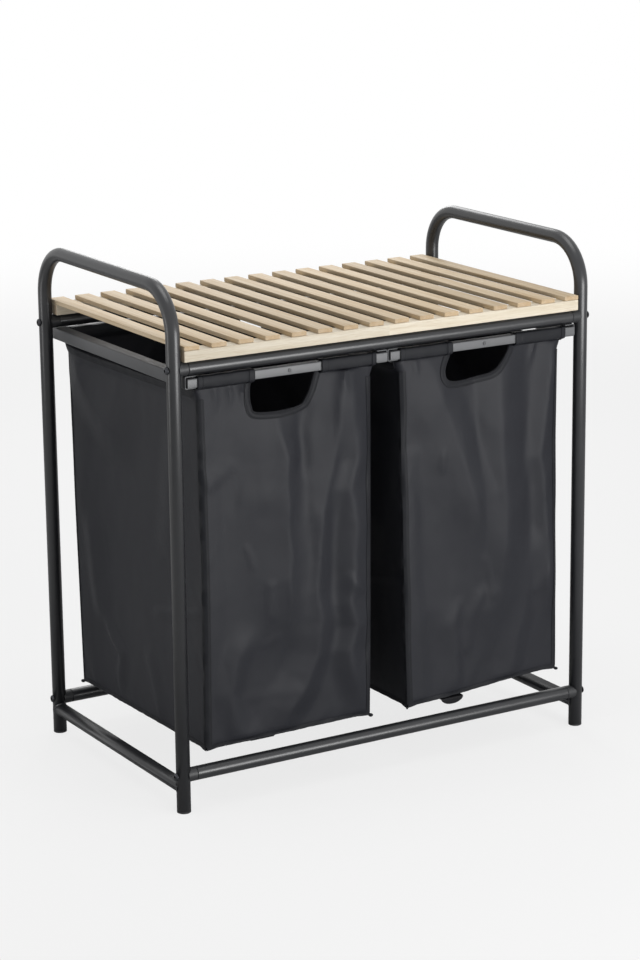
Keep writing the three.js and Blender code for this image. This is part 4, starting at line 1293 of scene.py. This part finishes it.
def hole_tape(bm, side):
    columns = [round_hole(side, inset * MM, proud * MM, HOLE_TAPE_TOP) for inset, proud in HOLE_TAPE]
    lofted(bm, list(zip(*columns)))


def seam_ear(bm, side, across, back, size):
    """The small ear where three bound seams meet at a bottom corner."""
    place = bag_place(side, across, back, 1) + outwards(across, back, 1) * EAR_PROUD
    turn = Matrix.Rotation(math.atan2(back - 0.5, across - 0.5), 4, "Z")
    stretch = Matrix.Diagonal([share * size * MM for share in EAR_SHARES] + [1])
    ball = Matrix.Translation(place) @ turn @ stretch
    u_steps, v_steps = EAR_STEPS
    bmesh.ops.create_uvsphere(bm, u_segments=u_steps, v_segments=v_steps, radius=1, matrix=ball)


def stitch_row(bm, path):
    """A row of stitches along a path of pairs: a place on the cloth and the direction out of it."""
    lengths = [0]
    for (start, _), (end, _) in zip(path, path[1:]):
        lengths.append(lengths[-1] + (end - start).length)
    for number in range(int(lengths[-1] / STITCH_PITCH)):
        wanted = (number + 0.5) * STITCH_PITCH
        step = next(n for n in range(1, len(path)) if lengths[n] >= wanted)
        share = (wanted - lengths[step - 1]) / (lengths[step] - lengths[step - 1])
        run = (path[step][0] - path[step - 1][0]).normalized()
        out = path[step][1]
        aside = out.cross(run).normalized()
        middle = path[step - 1][0].lerp(path[step][0], share)
        matrix = Matrix.Identity(4)
        for column, (axis, size) in enumerate(zip((run, aside, run.cross(aside)), STITCH_SIZE)):
            matrix.col[column][:3] = axis * size / 2
        matrix.col[3][:3] = middle
        bmesh.ops.create_icosphere(bm, subdivisions=1, radius=1, matrix=matrix)


def stitched_cloth(bm, side, places):
    """A row of stitches on a bag, through places given as shares across, back and down."""
    stitch_row(bm, [(skin(side, *place, STITCH_PROUD), outwards(*place)) for place in places])


def bag_stitches(side):
    """All the thread that shows on one bag."""
    bm = bmesh.new()
    ends = SLEEVE_ENDS[side]
    out_u, out_v = SLEEVE_STITCH
    for start, stop, end in (
        (ends[0], ends[1], -1),
        (ends[2], ends[3], -1),
        (-BACK_SLEEVE_END, BACK_SLEEVE_END, 1),
    ):
        direction = Vector((0, end * SLEEVE_STITCH_FACING[0], SLEEVE_STITCH_FACING[1])).normalized()
        y = end * (bar_y + out_u)
        row = [Vector((bin_middle[side] + x, y, bar_z + out_v)) for x in (start, stop)]
        stitch_row(bm, [(place, direction) for place in row])
    seam_cuts = cuts_along(*SEAM_STITCH_SHARES, SEAM_STEP / bag_size.z)
    hem_cuts = cuts_along(*HEM_STITCH_SHARES, SEAM_STEP / bag_size.y)
    hem_down = HEM_STITCH_INSET / bag_size.z
    for hand in (0, 1):
        across = abs(hand - SEAM_STITCH_INSET / bag_size.x)
        for back in (0, 1):
            stitched_cloth(bm, side, [(across, back, down) for down in seam_cuts])
        stitched_cloth(bm, side, [(hand, back, hem_down) for back in hem_cuts])
    for inset in HOLE_STITCH_INSETS:
        places = round_hole(side, inset, HOLE_STITCH_PROUD, HOLE_STITCH_TOP)
        stitch_row(bm, [(place, -Y_AXIS) for place in places])
    return add_piece(bm, side + "_bag_thread", sewing_thread, side + "_bin", "bag_cloth")


def bag_trim(side):
    """A bag's sleeves, tapes, lips, hems and thread, each kind as one piece."""
    kinds = {name: bmesh.new() for name in ("sleeves", "seam_tape", "bottom_lip", "hems", "hole_tape")}
    ends = SLEEVE_ENDS[side]
    sleeve(kinds["sleeves"], side, -1, ends[0], ends[1], (CUFF, TAPE_WIDTH))
    sleeve(kinds["sleeves"], side, -1, ends[2], ends[3], (TAPE_WIDTH, CUFF))
    sleeve(kinds["sleeves"], side, 1, -BACK_SLEEVE_END, BACK_SLEEVE_END, (CUFF, CUFF))
    for end in (0, 1):
        for back_end in (0, 1):
            seam_tape(kinds["seam_tape"], side, end, back_end)
        for runs_across in (True, False):
            bottom_lip(kinds["bottom_lip"], side, runs_across, end)
        side_hem(kinds["hems"], side, end)
    for (across, back), size in zip(((0, 0), (1, 0), (0, 1), (1, 1)), EARS[side]):
        seam_ear(kinds["bottom_lip"], side, across, back, size)
    hole_tape(kinds["hole_tape"], side)
    pieces = [
        add_piece(bm, f"{side}_bag_{name}", trim_cloth, side + "_bin", "bag_cloth")
        for name, bm in kinds.items()
    ]
    add_wall(pieces[0], SLEEVE_CLOTH)
    return pieces + [bag_stitches(side)]


def woven_trim(name, dark, light, roughness):
    """Tape and turned cloth: plain black with a fine rib."""
    material = new_material(name)
    place = object_place(material)
    rib = speckled(material, place, RIB, detail=3)
    cloud = speckled(material, place, TRIM_CLOUD, detail=3)
    colour = mixed(material, cloud, dark, light)
    sheen = ranged(material, cloud, roughness - TRIM_SHEEN, roughness + TRIM_SHEEN)
    slope = bumped(material, rib, RIB_DEPTH, strength=0.5)
    return finished(material, colour, sheen, slope, gloss=0.14)


trim_cloth = woven_trim("trim_cloth", screen_colour(26, 27, 30), screen_colour(34, 35, 39), 0.52)
sewing_thread = woven_trim("sewing_thread", screen_colour(18, 18, 20), screen_colour(26, 26, 29), 0.45)
for side in ("left", "right"):
    shell = bag_shell(side)
    trim = bag_trim(side)

# Pull tabs. A short half-round of black webbing is sewn under the front edge of each bag. On the
# right-hand bag it hangs down, and on the left-hand one it lies tucked under the bottom.
TAB_THICKNESS = 1.5 * MM
TAB_FLANGE = 12 * MM
TAB_ROUND_STEPS = 9
TAB_LEAST_HALF = 2.5 * MM
TAB_TURN = 0.3 * MM
TAB_ROUNDING = 0.4 * MM


def pull_tab(side, hangs):
    """Webbing, carried along a path from its sewn flange to its round end."""
    node = side + "_bin_pull_tab"
    low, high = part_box(node)
    middle_x = (low.x + high.x) / 2
    half = (high.x - low.x) / 2
    top = high.z - TAB_THICKNESS / 2
    shares = [step / TAB_ROUND_STEPS for step in range(1, TAB_ROUND_STEPS + 1)]
    if hangs:
        front = low.y + TAB_THICKNESS / 2
        drop = top - low.z
        path = [(high.y, top, 0), (front + MM, top, 0), (front + TAB_TURN, top - TAB_TURN, 0)]
        path += [(front, top - drop * math.sin(math.pi / 2 * share), share) for share in shares]
    else:
        flange = low.y + TAB_FLANGE
        reach = high.y - flange
        path = [(low.y, top, 0), (flange, top, 0)]
        path += [(flange + reach * math.sin(math.pi / 2 * share), top, share) for share in shares]
    rows = []
    for number, (y, z, round_share) in enumerate(path):
        start = path[max(number - 1, 0)]
        end = path[min(number + 1, len(path) - 1)]
        run = Vector((end[0] - start[0], end[1] - start[1])).normalized() * TAB_THICKNESS / 2
        wide = max(half * math.cos(math.pi / 2 * round_share), TAB_LEAST_HALF)
        corners = [(-wide, 1), (wide, 1), (wide, -1), (-wide, -1)]
        rows.append([Vector((middle_x + x, y - face * run.y, z + face * run.x)) for x, face in corners])
    bm = bmesh.new()
    lofted(bm, rows)
    piece = add_piece(bm, side + "_tab_webbing", black_webbing, side + "_bin", "webbing", node)
    round_edges(piece, TAB_ROUNDING)


black_webbing = woven_trim("black_webbing", screen_colour(16, 16, 18), screen_colour(24, 24, 27), 0.6)
pull_tab("left", hangs=False)
pull_tab("right", hangs=True)

# Studio. The hamper stands on a pale matt floor that thins out into a white backdrop. Four soft lamps
# light it: low from the front and from the left, from above, and from behind. The camera stands in
# front of it and to its left, above its top, and looks a little down.
CAMERA_PLACE = Vector((-1940.9, -3258.1, 1360.1)) * MM
CAMERA_TURN = math.radians(-30.888)
CAMERA_TILT = math.radians(-14.65)
CAMERA_ROLL = math.radians(0.615)
FOCAL_PIXELS = 2783.4
IMAGE_HEIGHT = 960
BACKDROP_LIGHT = 0.34
FLOOR_SIZE = 9
FLOOR_FADE = (2, 4.2)
FLOOR_SHARE = 0.22
FLOOR_GREY = (0.72, 0.72, 0.72, 1)

camera_data = bpy.data.cameras.new("camera")
camera_data.lens = FOCAL_PIXELS * camera_data.sensor_width / IMAGE_HEIGHT
camera = bpy.data.objects.new("camera", camera_data)
bpy.context.scene.collection.objects.link(camera)
camera.matrix_world = (
    Matrix.Translation(CAMERA_PLACE)
    @ Matrix.Rotation(CAMERA_TURN, 4, "Z")
    @ Matrix.Rotation(CAMERA_TILT, 4, "X")
    @ Matrix.Rotation(CAMERA_ROLL, 4, "Y")
    @ Matrix.Rotation(math.pi / 2, 4, "X")
)
bpy.context.scene.camera = camera


def softbox(name, azimuth, elevation, distance, width, height, power):
    """A soft rectangular lamp that looks at the middle of the hamper."""
    lamp = bpy.data.lights.new(name, "AREA")
    lamp.shape = "RECTANGLE"
    lamp.size = width
    lamp.size_y = height
    lamp.energy = power
    placed = bpy.data.objects.new(name, lamp)
    bpy.context.scene.collection.objects.link(placed)
    turn = math.radians(azimuth)
    rise = math.radians(elevation)
    level = math.cos(rise)
    towards = Vector((math.sin(turn) * level, -math.cos(turn) * level, math.sin(rise)))
    placed.location = (cad_low + cad_high) / 2 + distance * towards
    placed.rotation_mode = "QUATERNION"
    placed.rotation_quaternion = (-towards).to_track_quat("-Z", "Y")


softbox("key", azimuth=14, elevation=0.5, distance=1.9, width=1.1, height=0.68, power=22)
softbox("left_strip", azimuth=-100, elevation=1, distance=1.4, width=0.25, height=0.7, power=2.2)
softbox("overhead", azimuth=0, elevation=88, distance=2.4, width=1.5, height=1.5, power=20)
softbox("back", azimuth=155, elevation=30, distance=2.6, width=0.8, height=1.4, power=12)

world = bpy.data.worlds.new("studio")
world.use_nodes = True
bpy.context.scene.world = world
rays = add_node(world, "LightPath", {})
seen = reckoned(world, "MAXIMUM", rays.outputs["Is Camera Ray"], rays.outputs["Is Glossy Ray"])
seen = reckoned(world, "MAXIMUM", seen, rays.outputs["Is Transmission Ray"])
strength = ranged(world, seen, BACKDROP_LIGHT, 1)
set_inputs(world, world.node_tree.nodes["Background"], {"Color": (1, 1, 1, 1), "Strength": strength})


def pale_floor():
    """A matt floor that thins out into the white backdrop with distance and keeps the shadow."""
    material = new_material("pale_floor")
    nodes = material.node_tree.nodes
    nodes.remove(nodes["Principled BSDF"])
    place = object_place(material)
    distance = add_node(material, "VectorMath", {0: place}, operation="LENGTH").outputs["Value"]
    near = ranged(material, distance, 1, 0, *FLOOR_FADE, interpolation_type="SMOOTHSTEP")
    camera_ray = add_node(material, "LightPath", {}).outputs["Is Camera Ray"]
    solid = reckoned(material, "MULTIPLY", near, ranged(material, camera_ray, 1, FLOOR_SHARE))
    clear = add_node(material, "BsdfTransparent", {}).outputs[0]
    matt = add_node(material, "BsdfDiffuse", {"Color": FLOOR_GREY}).outputs[0]
    blend = add_node(material, "MixShader", {0: solid, 1: clear, 2: matt}).outputs[0]
    set_inputs(material, nodes["Material Output"], {"Surface": blend})
    return material


bm = bmesh.new()
bmesh.ops.create_grid(bm, x_segments=1, y_segments=1, size=FLOOR_SIZE / 2)
floor_mesh = bpy.data.meshes.new("floor")
bm.to_mesh(floor_mesh)
bm.free()
floor_mesh.materials.append(pale_floor())
floor = bpy.data.objects.new("floor", floor_mesh)
bpy.context.scene.collection.objects.link(floor)

bpy.context.scene.view_settings.view_transform = "Standard"
